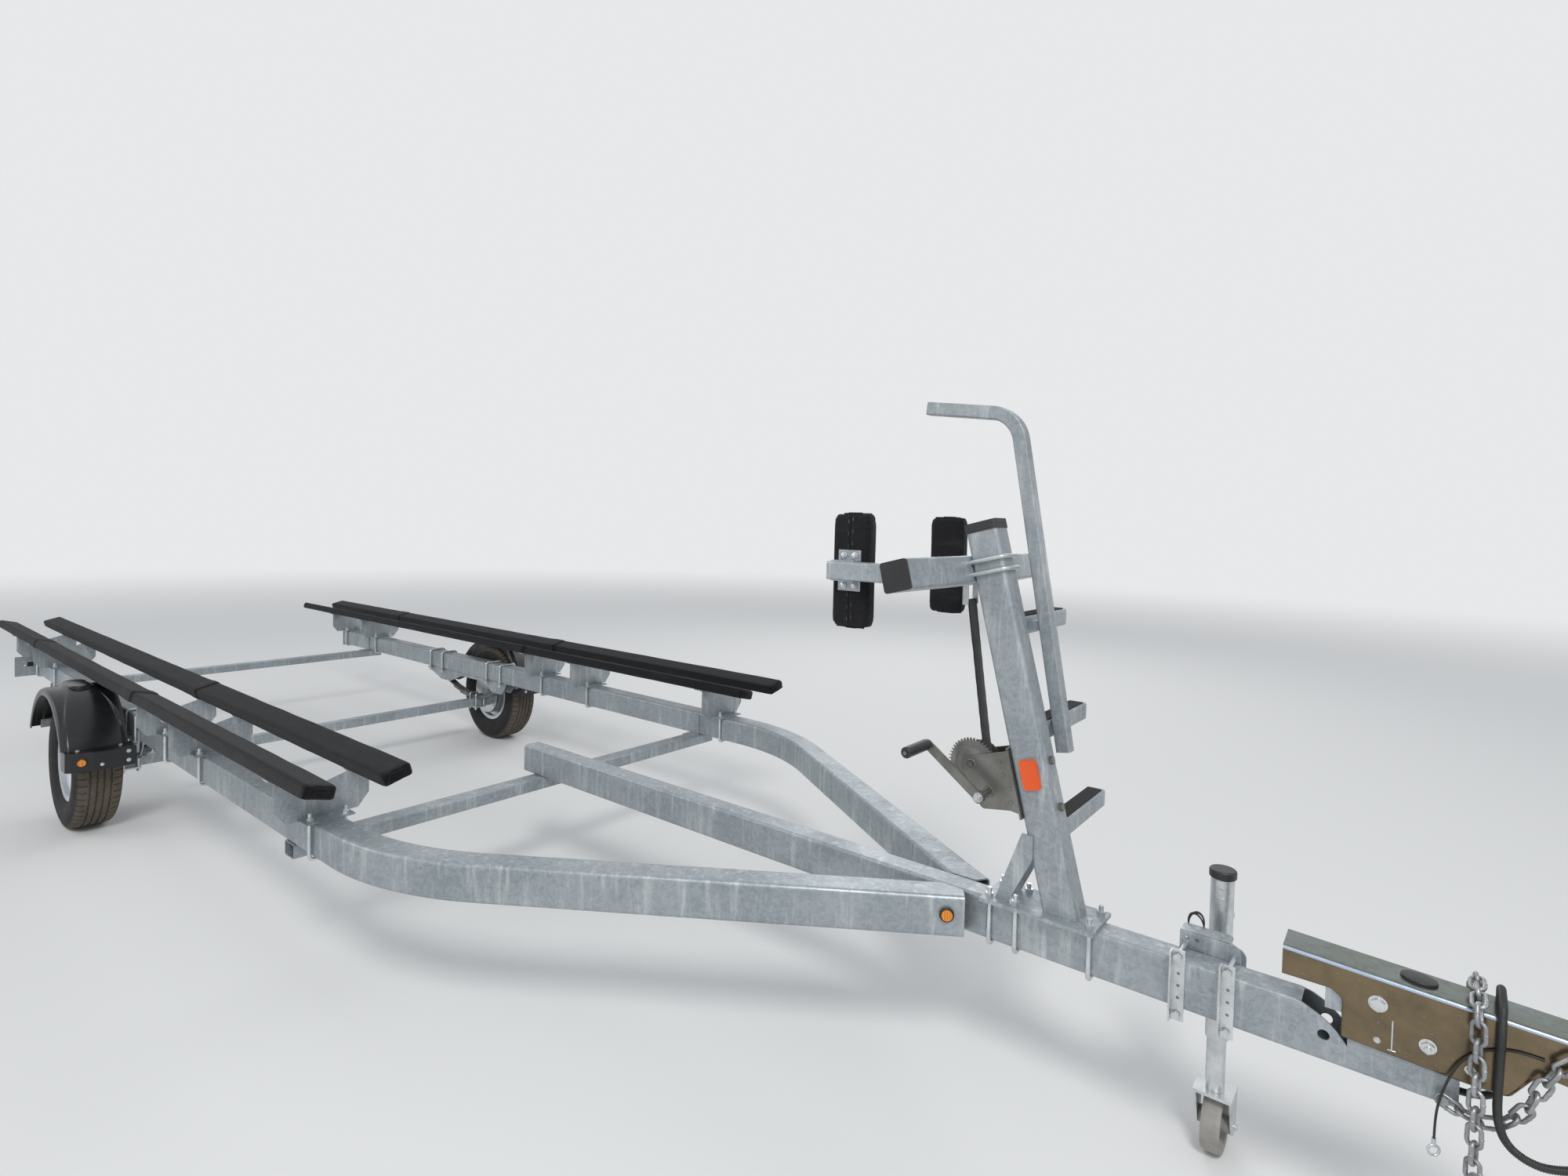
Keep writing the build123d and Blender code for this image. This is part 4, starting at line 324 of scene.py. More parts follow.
# Plated and bare steel: smoother, with faint rubbed patches
platedSettings = {
    "zinc": {
        "light": (0.72, 0.74, 0.75), "dull": (0.50, 0.52, 0.53), "metal": 0.85, "rough": (0.22, 0.42),
    },
    "zinc_bright": {
        "light": (0.60, 0.575, 0.50), "dull": (0.36, 0.335, 0.28), "metal": 0.9, "rough": (0.16, 0.34),
    },
    "winch_plate": {
        "light": (0.255, 0.25, 0.235), "dull": (0.165, 0.16, 0.148), "metal": 0.8, "rough": (0.30, 0.50),
    },
    "chain_steel": {
        "light": (0.42, 0.43, 0.44), "dull": (0.20, 0.20, 0.205), "metal": 0.75, "rough": (0.32, 0.55),
    },
    "hub_iron": {
        "light": (0.50, 0.52, 0.53), "dull": (0.32, 0.335, 0.34), "metal": 0.6, "rough": (0.42, 0.6),
    },
    "spring_steel": {
        "light": (0.20, 0.20, 0.20), "dull": (0.10, 0.10, 0.10), "metal": 0.5, "rough": (0.42, 0.6),
    },
    "rim": {
        "light": (0.66, 0.70, 0.725), "dull": (0.52, 0.555, 0.58), "metal": 0.6, "rough": (0.30, 0.48),
    },
}


def plated(name, settings):
    paint = Paint(name, settings["light"], 0.35, settings["metal"])
    patches = paint.noise(paint.place, 14, 5, 0.6)
    grain = paint.noise(paint.place, 260, 2, 0.5)
    share = paint.remap(paint.maths("ADD", patches, paint.remap(grain, 0, 1, -0.12, 0.12)), 0.35, 0.68)
    colour = paint.mix(share, settings["light"], settings["dull"])
    paint.bump(grain, 0.06, 0.001)
    return paint.finish(colour, paint.remap(patches, 0.35, 0.68, *settings["rough"]))


# Carpet: short black pile with painted shade in its low hollows, lint and worn streaks, and on the upright
# pads fine woven rows
carpetSettings = {
    "carpet": {
        "deep": (0.004, 0.004, 0.0045), "pile": (0.017, 0.017, 0.018), "lint": (0.060, 0.060, 0.060),
        "rows": 0.10,
    },
    "pad_carpet": {
        "deep": (0.005, 0.005, 0.006), "pile": (0.026, 0.026, 0.028), "lint": (0.080, 0.080, 0.080),
        "rows": 0.35,
    },
}


def carpet(name, settings):
    paint = Paint(name, settings["pile"], 0.95, 0.0, 0.10)
    pile = paint.noise(paint.place, 520, 3, 0.7)
    tufts = paint.noise(paint.place, 170, 3, 0.6)
    rows = paint.bands(paint.mapped((0.3, 0.3, 1)), 88, "Z", 1.2)
    height = paint.maths("ADD", paint.maths("MULTIPLY", pile, 0.9), paint.maths("MULTIPLY", tufts, 0.9))
    height = paint.maths("ADD", height, paint.maths("MULTIPLY", rows, settings["rows"]))
    # painted shade: the lower the pile's height, the darker its colour, down to the shade colour of its
    # hollows
    upper = paint.remap(height, 0.75, 1.3 + settings["rows"])
    colour = paint.mix(upper, settings["deep"], settings["pile"])
    worn = paint.noise(paint.mapped((1.2, 6, 6)), 3.5, 4, 0.6)
    colour = paint.mix(paint.remap(worn, 0.55, 0.80, 0, 0.22), colour, settings["lint"])
    flecks = paint.noise(paint.place, 330, 1, 0.5)
    colour = paint.mix(paint.remap(flecks, 0.77, 0.81, 0, 0.7), colour, settings["lint"])
    paint.shader.inputs["Sheen Weight"].default_value = 0.12
    paint.shader.inputs["Sheen Roughness"].default_value = 0.5
    paint.bump(height, 0.6, 0.003)
    return paint.finish(colour)


# The coupler's plate: yellow-brown sides, a painted reflection of brown ground, under a greyer top, with a
# bright bluish line along the bend that is a painted highlight
couplerPlateSettings = {
    # side: a painted reflection of brown ground on the side plates; edge: the bluish colour of painted
    # highlights on the bend and top
    "side": (0.215, 0.165, 0.100), "stain": (0.120, 0.095, 0.064), "top": (0.195, 0.230, 0.208),
    "edge": (0.46, 0.56, 0.72), "rear": (3.392, 0.676), "front": (3.880, 0.652), "bendHigh": 0.0022,
    "bendLow": 0.0085, "rough": (0.16, 0.30),
}


def couplerPlate(name, settings):
    paint = Paint(name, settings["side"], 0.25, 0.85)
    x, y, z = paint.split(paint.place)
    (rearX, rearZ), (frontX, frontZ) = settings["rear"], settings["front"]
    slope = (rearZ - frontZ) / (frontX - rearX)
    risen = paint.maths("ADD", z, paint.maths("MULTIPLY", x, slope))
    depth = paint.maths("SUBTRACT", rearZ + rearX * slope, risen)
    clouds = paint.noise(paint.place, 9, 5, 0.6)
    fine = paint.noise(paint.place, 170, 3, 0.6)
    # the sides: the painted ground reflection with stain clouds, and fine specks of painted highlight
    side = paint.mix(paint.remap(clouds, 0.42, 0.70), settings["side"], settings["stain"])
    side = paint.mix(paint.remap(fine, 0.66, 0.74, 0, 0.35), side, settings["edge"])
    crystal = paint.split(paint.cells(paint.place, 90))[0]
    top = paint.mix(paint.remap(crystal, 0, 1, 0.0, 0.35), settings["top"], settings["stain"])
    # the top: painted sheen in cloudy patches of the highlight colour
    top = paint.mix(paint.remap(clouds, 0.50, 0.75, 0, 0.22), top, settings["edge"])
    low, high = settings["bendLow"], settings["bendHigh"]
    # painted highlight: a bright bluish band along the bend, just below the top
    colour = paint.mix(paint.remap(depth, low, low - 0.0012), side, settings["edge"])
    colour = paint.mix(paint.remap(depth, high + 0.0006, high - 0.0006), colour, top)
    paint.bump(fine, 0.05, 0.001)
    return paint.finish(colour, paint.remap(clouds, 0.35, 0.68, *settings["rough"]))


# Moulded black plastic and rubber: satin, with faint dust
mouldSettings = {
    "black_moulding": {
        "base": (0.009, 0.0095, 0.011), "dust": (0.034, 0.034, 0.035), "rough": (0.20, 0.32), "dusty": 0.30,
    },
    "black_cap": {
        "base": (0.016, 0.016, 0.017), "dust": (0.07, 0.07, 0.07), "rough": (0.34, 0.5), "dusty": 0.35,
    },
    "caster_plastic": {
        "base": (0.20, 0.19, 0.18), "dust": (0.46, 0.44, 0.40), "rough": (0.5, 0.7), "dusty": 0.8,
    },
    "sleeve": {
        "base": (0.014, 0.014, 0.015), "dust": (0.07, 0.068, 0.06), "rough": (0.38, 0.5), "dusty": 0.4,
    },
    "cable_black": {
        "base": (0.016, 0.016, 0.016), "dust": (0.06, 0.06, 0.06), "rough": (0.4, 0.5), "dusty": 0.3,
    },
}


def moulded(name, settings):
    paint = Paint(name, settings["base"], 0.35)
    film = paint.noise(paint.place, 5.5, 5, 0.65)
    specks = paint.noise(paint.place, 210, 2, 0.6)
    share = paint.maths("MULTIPLY", paint.remap(film, 0.42, 0.75), settings["dusty"])
    colour = paint.mix(share, settings["base"], settings["dust"])
    colour = paint.mix(paint.remap(specks, 0.70, 0.78, 0, 0.35), colour, settings["dust"])
    paint.bump(specks, 0.05, 0.001)
    return paint.finish(colour, paint.remap(film, 0.3, 0.7, *settings["rough"]))


# Lamps and reflectors: clear coloured plastic over a prism pattern
lensSettings = {
    "lamp_red": {"colour": (0.46, 0.012, 0.010), "bright": (0.80, 0.05, 0.03), "cell": 0.0045},
    "lamp_amber": {"colour": (0.62, 0.16, 0.006), "bright": (0.95, 0.42, 0.04), "cell": 0.004},
    "lamp_orange": {"colour": (0.76, 0.085, 0.001), "bright": (0.86, 0.115, 0.002), "cell": 0.0025},
}


def lens(name, settings):
    paint = Paint(name, settings["colour"], 0.12)
    prism = paint.cells(paint.place, 1 / settings["cell"], "Distance", 0.0)
    colour = paint.mix(paint.remap(prism, 0.1, 0.6), settings["bright"], settings["colour"])
    film = paint.noise(paint.place, 30, 3, 0.5)
    paint.shader.inputs["Coat Weight"].default_value = 0.25
    paint.shader.inputs["Coat Roughness"].default_value = 0.06
    paint.bump(prism, 0.15, 0.001)
    return paint.finish(colour, paint.remap(film, 0.3, 0.7, 0.10, 0.22))


# Tyre rubber: black walls and a dusty brown tread
tyreSettings = {
    "wall": (0.020, 0.020, 0.021), "tread": (0.120, 0.098, 0.074), "groove": (0.034, 0.029, 0.024),
    "axle": (wheelX, wheelZ), "treadStart": 0.288, "treadEnd": 0.306,
}


def tyreRubber(name, settings):
    paint = Paint(name, settings["wall"], 0.7, 0.0, 0.3)
    x, y, z = paint.split(paint.place)
    squares = []
    for value, middle in zip((x, z), settings["axle"]):
        offset = paint.maths("SUBTRACT", value, middle)
        squares.append(paint.maths("MULTIPLY", offset, offset))
    reach = paint.maths("SQRT", paint.maths("ADD", *squares))
    dust = paint.noise(paint.place, 22, 5, 0.65)
    grain = paint.noise(paint.place, 190, 3, 0.6)
    top = paint.remap(reach, settings["treadStart"], settings["treadEnd"])
    top = paint.maths("MULTIPLY", top, paint.remap(dust, 0.25, 0.6, 0.45, 1.0))
    wall = paint.mix(paint.remap(dust, 0.45, 0.75, 0, 0.45), settings["wall"], settings["groove"])
    paint.bump(grain, 0.12, 0.001)
    return paint.finish(paint.mix(top, wall, settings["tread"]), paint.remap(dust, 0.3, 0.7, 0.62, 0.85))


# Webbing: dark polyester with diagonal yarns, the gaps between them darkened as painted shade
webSettings = {"yarn": (0.030, 0.030, 0.032), "gap": (0.008, 0.008, 0.008), "yarnSize": 0.0016}


def webbing(name, settings):
    paint = Paint(name, settings["yarn"], 0.75, 0.0, 0.3)
    often = 1 / settings["yarnSize"] / 6.28
    across = paint.bands(paint.place, often, "Y")
    along = paint.bands(paint.mapped((1, 0.4, 1)), often, "Z", 0.6)
    weave = paint.maths("MULTIPLY", across, along)
    # painted shade: the gaps between yarns take the darker gap colour
    colour = paint.mix(weave, settings["gap"], settings["yarn"])
    paint.shader.inputs["Sheen Weight"].default_value = 0.2
    paint.bump(weave, 0.35, 0.001)
    return paint.finish(colour)


# Grip strips on the steps: coarse mineral grit in black
gripSettings = {"base": (0.012, 0.012, 0.012), "grit": (0.11, 0.11, 0.11)}


def gritty(name, settings):
    paint = Paint(name, settings["base"], 0.85, 0.0, 0.3)
    grit = paint.noise(paint.place, 520, 2, 0.7)
    paint.bump(grit, 0.6, 0.002)
    return paint.finish(paint.mix(paint.remap(grit, 0.55, 0.72), settings["base"], settings["grit"]))


looks = {}
for finish, variants in (
    (galvanised, {"galvanised": galvSettings}), (plated, platedSettings), (moulded, mouldSettings),
    (lens, lensSettings), (couplerPlate, {"coupler_plate": couplerPlateSettings}), (carpet, carpetSettings),
    (tyreRubber, {"tyre": tyreSettings}), (webbing, {"webbing": webSettings}),
    (gritty, {"grip": gripSettings}),
):
    for name, settings in variants.items():
        looks[name] = finish(name, settings)

# every solid keeps the look that its slot names, apart from the winch and the coupler
ownLooks = {"coupler": "coupler_plate"}
ownLooks.update({nodeName: "winch_plate" for nodeName in ("winch_frame", "winch_drum", "winch_crank")})
for nodeName, solid in frame["nodes"].items():
    for slot in solid.material_slots:
        look = slot.material.name.split(".")[0]
        slot.material = looks[ownLooks.get(nodeName, look)]
print("materials set")


# Modelling helpers: every piece ends with its place in its mesh and its object at the origin
def picked(piece):
    bpy.ops.object.select_all(action="DESELECT")
    piece.select_set(True)
    bpy.context.view_layer.objects.active = piece
    return piece


def settle(piece, name):
    piece.name = name
    piece.data.name = name
    picked(piece)
    bpy.ops.object.transform_apply(location=True, rotation=True, scale=True)
    return piece


def shapedBy(piece, kind, **values):
    # adds one modifier with these settings and applies it
    picked(piece)
    change = piece.modifiers.new(kind.lower(), kind)
    for key, value in values.items():
        setattr(change, key, value)
    bpy.ops.object.modifier_apply(modifier=change.name)
    return piece


def rounded(piece, width, segments=2, angle=30):
    limit = math.radians(angle)
    return shapedBy(piece, "BEVEL", width=width, segments=segments, limit_method="ANGLE", angle_limit=limit)


def pierced(piece, cutter):
    shapedBy(piece, "BOOLEAN", object=cutter, operation="DIFFERENCE")
    bpy.data.objects.remove(cutter)
    return piece


def smoothed(piece, angle=35):
    picked(piece)
    bpy.ops.object.shade_smooth_by_angle(angle=math.radians(angle))
    return piece


def facedOut(piece):
    picked(piece)
    bpy.ops.object.mode_set(mode="EDIT")
    bpy.ops.mesh.select_all(action="SELECT")
    bpy.ops.mesh.remove_doubles(threshold=0.00001)
    bpy.ops.mesh.normals_make_consistent(inside=False)
    bpy.ops.object.mode_set(mode="OBJECT")
    return piece


def boxPiece(name, low, high, bevel=0.0, segments=2):
    size = [b - a for a, b in zip(low, high)]
    bpy.ops.mesh.primitive_cube_add(size=1, location=middleOf(low, high), scale=size)
    piece = settle(bpy.context.object, name)
    return rounded(piece, bevel, segments) if bevel else piece


def rodPiece(name, start, end, radius, sides=24, bevel=0.0):
    along = Vector(end) - Vector(start)
    bpy.ops.mesh.primitive_cylinder_add(vertices=sides, radius=radius, depth=along.length)
    piece = bpy.context.object
    piece.rotation_euler = along.to_track_quat("Z", "Y").to_euler()
    piece.location = (Vector(start) + Vector(end)) / 2
    settle(piece, name)
    return rounded(piece, bevel, 2, 40) if bevel else piece


def ringPiece(name, middle, along, radius, thick, sides=32, ringSides=10):
    bpy.ops.mesh.primitive_torus_add(
        major_segments=sides, minor_segments=ringSides, major_radius=radius, minor_radius=thick
    )
    piece = bpy.context.object
    piece.rotation_euler = Vector(along).to_track_quat("Z", "Y").to_euler()
    piece.location = middle
    return settle(piece, name)


def gridPiece(name, columns, rows):
    # a grid whose points are then set row by row
    bpy.ops.mesh.primitive_grid_add(x_subdivisions=columns, y_subdivisions=rows)
    return settle(bpy.context.object, name)


def pointsSet(piece, places):
    for vertex, place in zip(piece.data.vertices, places):
        vertex.co = place
    piece.data.update()
    return piece


def turned(piece, place, angle, axis="Y"):
    piece.data.transform(Matrix.Translation(place) @ Matrix.Rotation(math.radians(angle), 4, axis))
    return piece


def copied(piece, name, change):
    twin = piece.copy()
    twin.data = piece.data.copy()
    twin.name = name
    bpy.context.scene.collection.objects.link(twin)
    twin.data.transform(change)
    if change.determinant() < 0:
        twin.data.flip_normals()
    return twin


def joined(pieces, name):
    bpy.ops.object.select_all(action="DESELECT")
    for piece in pieces:
        piece.select_set(True)
    bpy.context.view_layer.objects.active = pieces[0]
    bpy.ops.object.join()
    pieces[0].name = name
    pieces[0].data.name = name
    return pieces[0]


def bothSides(pieces, name):
    # joins the pieces with their mirror images across the middle plane
    mirror = Matrix.Scale(-1, 4, (0, 1, 0))
    return joined(pieces + [copied(piece, piece.name + "Twin", mirror) for piece in pieces], name)


def dressed(piece, body, look, slotName=None, replaced=()):
    piece.data.materials.clear()
    piece.data.materials.append(looks[look])
    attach(piece, body)
    slotName or look
    if replaced:
        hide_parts(*replaced)
    return piece


def runsAlong(start, end, axis, least=0.0):
    line = end - start
    return abs(line[axis]) > max(least, 0.98 * line.length)


def edgesPicked(piece, test):
    # goes into edit mode with the edges selected whose two ends pass the test
    picked(piece)
    bpy.ops.object.mode_set(mode="EDIT")
    bpy.context.tool_settings.mesh_select_mode = (False, True, False)
    bpy.ops.mesh.select_all(action="DESELECT")
    bpy.ops.object.mode_set(mode="OBJECT")
    points = piece.data.vertices
    for edge in piece.data.edges:
        edge.select = test(*[points[k].co for k in edge.vertices])
    bpy.ops.object.mode_set(mode="EDIT")


def cutAlong(piece, axis, least, cuts):
    # divides the edges that run along one axis, as loop cuts do
    edgesPicked(piece, lambda start, end: runsAlong(start, end, axis, least))
    bpy.ops.mesh.subdivide(number_cuts=cuts)
    bpy.ops.object.mode_set(mode="OBJECT")


def cutAcross(piece, axis, places):
    # bisects the whole piece at each place on an axis
    picked(piece)
    bpy.ops.object.mode_set(mode="EDIT")
    normal = [1.0 if k == axis else 0.0 for k in range(3)]
    for place in places:
        bpy.ops.mesh.select_all(action="SELECT")
        bpy.ops.mesh.bisect(plane_co=[place * v for v in normal], plane_no=normal)
    bpy.ops.object.mode_set(mode="OBJECT")


def cornersRounded(piece, axis, width, segments, test=lambda at: True):
    # bevels the edges along one axis whose middle passes the test
    edgesPicked(piece, lambda start, end: runsAlong(start, end, axis) and test((start + end) / 2))
    bpy.ops.mesh.bevel(offset=width, segments=segments, affect="EDGES")
    bpy.ops.object.mode_set(mode="OBJECT")
    return piece


def softStep(value, low, high):
    share = min(max((value - low) / (high - low), 0.0), 1.0)
    return share * share * (3 - 2 * share)


def thinCurve(name, points, radius, look, resolution=6):
    line = bpy.data.curves.new(name, "CURVE")
    line.dimensions = "3D"
    line.bevel_depth = radius
    line.bevel_resolution = 3
    line.resolution_u = resolution
    line.use_fill_caps = radius > 0
    spline = line.splines.new("NURBS")
    spline.points.add(len(points) - 1)
    for point, place in zip(spline.points, points):
        point.co = (*place, 1)
    spline.order_u = 3
    spline.use_endpoint_u = True
    piece = bpy.data.objects.new(name, line)
    bpy.context.scene.collection.objects.link(piece)
    line.materials.append(looks[look])
    return piece


def splinePath(points, resolution):
    bare = thinCurve("bareLine", points, 0.0, "sleeve", resolution)
    mesh = bpy.data.meshes.new_from_object(bare)
    path = [vertex.co.copy() for vertex in mesh.vertices]
    bpy.data.objects.remove(bare)
    bpy.data.meshes.remove(mesh)
    return path


def pathLength(path):
    return sum((end - start).length for start, end in zip(path, path[1:]))


# Cords: the wiring's ribbed sleeve follows its own spline, the breakaway cable is a plain curve
loomSettings = {
    "route": (
        (3.640, 0.012, 0.4615), (3.690, 0.012, 0.4615), (3.724, 0.014, 0.466), (3.748, 0.030, 0.474),
        (3.760, 0.054, 0.492), (3.758, 0.065, 0.532), (3.753, 0.066, 0.585), (3.750, 0.065, 0.638),
        (3.749, 0.052, 0.676), (3.748, 0.020, 0.681), (3.747, -0.020, 0.680), (3.746, -0.053, 0.675),
        (3.745, -0.066, 0.638), (3.744, -0.065, 0.585), (3.743, -0.067, 0.532), (3.743, -0.071, 0.480),
        (3.755, -0.072, 0.440), (3.785, -0.070, 0.419), (3.822, -0.066, 0.417), (3.856, -0.060, 0.432),
    ),
    "radius": 0.0075, "ribDepth": 0.0008, "ribPitch": 0.0036, "ribRings": 4, "sides": 14,
}
cableSettings = {
    "route": (
        (3.806, -0.0515, 0.606), (3.776, -0.0512, 0.608), (3.743, -0.051, 0.600), (3.713, -0.0514, 0.583),
        (3.689, -0.054, 0.556), (3.672, -0.061, 0.517), (3.660, -0.067, 0.474), (3.655, -0.068, 0.434),
        (3.655, -0.068, 0.396),
    ),
    "radius": 0.0022,
}


def ribbedTube(name, path, settings):
    # rings of points along the path, half of each pitch standing lower than its rib
    sides, rings = settings["sides"], settings["ribRings"]
    lengths = [0.0]
    for start, end in zip(path, path[1:]):
        lengths.append(lengths[-1] + (end - start).length)
    count = int(lengths[-1] / settings["ribPitch"] * rings)
    mesh = bmesh.new()
    rows = []
    k = 0
    side = Vector((0, 1, 0))
    for step in range(count + 1):
        want = lengths[-1] * step / count
        while k < len(path) - 2 and lengths[k + 1] < want:
            k += 1
        place = path[k].lerp(path[k + 1], (want - lengths[k]) / (lengths[k + 1] - lengths[k]))
        along = (path[k + 1] - path[k]).normalized()
        side = (side - along * side.dot(along)).normalized()
        other = along.cross(side)
        reach = settings["radius"] - (settings["ribDepth"] if step % rings < rings / 2 else 0)
        row = []
        for turn in range(sides):
            angle = 2 * math.pi * turn / sides
            row.append(mesh.verts.new(place + (side * math.cos(angle) + other * math.sin(angle)) * reach))
        rows.append(row)
    for low, high in zip(rows, rows[1:]):
        for turn in range(sides):
            after = (turn + 1) % sides
            mesh.faces.new((low[turn], low[after], high[after], high[turn]))
    mesh.faces.new(list(reversed(rows[0])))
    mesh.faces.new(rows[-1])
    data = bpy.data.meshes.new(name)
    mesh.to_mesh(data)
    mesh.free()
    piece = bpy.data.objects.new(name, data)
    bpy.context.scene.collection.objects.link(piece)
    return smoothed(piece, 50)


loomPath = splinePath(loomSettings["route"], 8)
loom = ribbedTube("wiringSleeve", loomPath, loomSettings)
dressed(loom, "frame", "sleeve", replaced=("wiring_loom",))
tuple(loomSettings["route"][0])
pathLength(loomPath)
cable = thinCurve("breakawayCable", cableSettings["route"], cableSettings["radius"], "cable_black")
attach(cable, "frame")
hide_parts("breakaway_cable")
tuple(cableSettings["route"][0])
pathLength(splinePath(cableSettings["route"], 12))
print("cords set")

# Safety chains: welded round-wire links along the same routes as the solids
chainSettings = {
    "pitch": 0.032, "wire": 0.004, "width": 0.030, "play": 0.0008, "endScale": 1.35, "ringSides": 12,
    "endSides": 10, "stepsPerMetre": 1000, "weldReach": 0.55, "weldThick": 0.62,
    "near": (
        (3.660, -0.054, 0.471), (3.698, -0.054, 0.456), (3.728, -0.046, 0.446), (3.756, -0.046, 0.460),
        (3.782, -0.058, 0.500), (3.802, -0.063, 0.560), (3.830, -0.063, 0.614), (3.871, -0.065, 0.642),
        (3.889, -0.058, 0.662), (3.901, -0.036, 0.678), (3.903, -0.006, 0.670), (3.903, 0.020, 0.670),
        (3.903, 0.046, 0.658), (3.903, 0.063, 0.630), (3.903, 0.062, 0.590), (3.903, 0.060, 0.430),
    ),
    "far": (
        (3.660, 0.054, 0.469), (3.690, 0.055, 0.481), (3.706, 0.063, 0.508), (3.712, 0.069, 0.546),
        (3.712, 0.073, 0.637), (3.712, 0.060, 0.672), (3.712, 0.032, 0.688), (3.712, 0.006, 0.680),
        (3.712, -0.020, 0.680), (3.712, -0.040, 0.686), (3.712, -0.066, 0.670), (3.712, -0.080, 0.640),
        (3.712, -0.083, 0.530), (3.712, -0.089, 0.340),
    ),
    # place of the anchor bolts, then from y, to y and the radius of the stud and of its head
    "anchor": (3.666, 0.470), "stud": (0.039, 0.060, 0.005), "head": (0.059, 0.0625, 0.010),
}


def chainJoints(route, settings):
    points = [Vector(place) for place in route]
    joints = [points[0]]
    for start, end in zip(points, points[1:]):
        steps = max(int((end - start).length * settings["stepsPerMetre"]), 1)
        for k in range(1, steps + 1):
            here = start.lerp(end, k / steps)
            if (here - joints[-1]).length >= settings["pitch"]:
                joints.append(here)
    return joints


def linkPiece(name, settings, scale=1.0):
    # a torus pulled long: half of its rings move to each end
    wire = settings["wire"] * scale
    across = settings["width"] * scale / 2 - wire
    half = (settings["pitch"] + settings["play"]) * scale / 2 + wire
    ringSides = settings["ringSides"]
    bpy.ops.mesh.primitive_torus_add(
        major_segments=2 * settings["endSides"], minor_segments=ringSides,
        major_radius=across, minor_radius=wire,
    )
    link = bpy.context.object
    for vertex in link.data.vertices:
        vertex.co.x += math.copysign(half - across, vertex.co.x)
    settle(link, name)
    weldRadius, weldThick = wire * settings["weldReach"], wire * settings["weldThick"]
    weld = ringPiece(name + "Weld", (0, across, 0), (1, 0, 0), weldRadius, weldThick, ringSides, 8)
    return smoothed(joined([link, weld], name), 60)


def chainPieces(name, route, settings):
    model = linkPiece(name, settings)
    large = linkPiece(name + "End", settings, settings["endScale"])
    joints = chainJoints(route, settings)
    normal = Vector((0, 1, 0))
    links = []

    def placed(middle, along, facing):
        return Matrix.Translation(middle) @ Matrix((along, facing.cross(along), facing)).transposed().to_4x4()

    for k, (start, end) in enumerate(zip(joints, joints[1:])):
        along = (end - start).normalized()
        normal = (normal - along * normal.dot(along)).normalized()
        facing = normal if k % 2 == 0 else along.cross(normal)
        links.append(copied(model, f"{name}{k}", placed((start + end) / 2, along, facing)))
    last = joints[-1] + along * settings["endScale"] * settings["pitch"] / 2
    links.append(copied(large, name + "Last", placed(last, along, along.cross(facing))))
    bpy.data.objects.remove(model)
    bpy.data.objects.remove(large)
    return links


def chainAnchor(side, settings):
    x, z = settings["anchor"]
    parts = []
    for name, (start, end, radius), sides, bevel in (
        ("chainStud", settings["stud"], 20, 0.0), ("chainHead", settings["head"], 6, 0.0006)
    ):
        parts.append(rodPiece(name, (x, side * start, z), (x, side * end, z), radius, sides, bevel))
    return parts


chains = chainPieces("nearLink", chainSettings["near"], chainSettings)
chains += chainPieces("farLink", chainSettings["far"], chainSettings)
chains += chainAnchor(-1, chainSettings) + chainAnchor(1, chainSettings)
dressed(joined(chains, "safetyChains"), "frame", "chain_steel", replaced=("safety_chains",))
print("chains set")

# Tyres: five ribs with wavy grooves and sipes, notched shoulders, ringed walls
treadSettings = {
    "pitches": 56, "wave": 0.0011, "waveTurnsAt": 0.025,
    "notchDepth": 0.0050, "notchSpan": (0.019, 0.191), "notchFrom": 0.0485, "notchAbove": 0.2900,
    "notchFade": (0.288, 0.300),
    "sipeDepth": 0.0030, "sipes": (0.36, 0.86), "sipeHalf": 0.005,
    "sipedRibs": ((-0.001, 0.0085), (0.0170, 0.0340)),
    "columns": (0.0, 0.02, 0.19, 0.21, 0.34, 0.36, 0.38, 0.50, 0.52, 0.69, 0.71, 0.84, 0.86, 0.88),
    # half section, from the middle of the tread to the bead: distance from the middle plane, radius
    "crown": (
        (0.0000, 0.3130), (0.0090, 0.3130), (0.0102, 0.3068), (0.0150, 0.3068), (0.0162, 0.3130),
        (0.0250, 0.3129), (0.0345, 0.3127), (0.0357, 0.3065), (0.0410, 0.3065), (0.0422, 0.3125),
        (0.0480, 0.3123), (0.0490, 0.3122), (0.0620, 0.3112), (0.0690, 0.3092), (0.0755, 0.3050),
    ),
    "wall": (
        (0.0805, 0.2985), (0.0835, 0.2905), (0.0845, 0.2880), (0.0868, 0.2820), (0.0894, 0.2720),
        (0.0912, 0.2600), (0.0919, 0.2480), (0.0919, 0.2420), (0.0908, 0.2340), (0.0890, 0.2250),
        (0.0892, 0.2205), (0.0880, 0.2160), (0.0850, 0.2075), (0.0795, 0.1975), (0.0725, 0.1895),
        (0.0660, 0.1845), (0.0615, 0.1815), (0.0560, 0.1700),
    ),
    "liner": ((0.0560, 0.1900), (0.0700, 0.2200), (0.0770, 0.2600), (0.0600, 0.2950)),
    "wavy": (0.0090, 0.0102, 0.0150, 0.0162, 0.0345, 0.0357, 0.0410, 0.0422),  # the grooves' walls
}


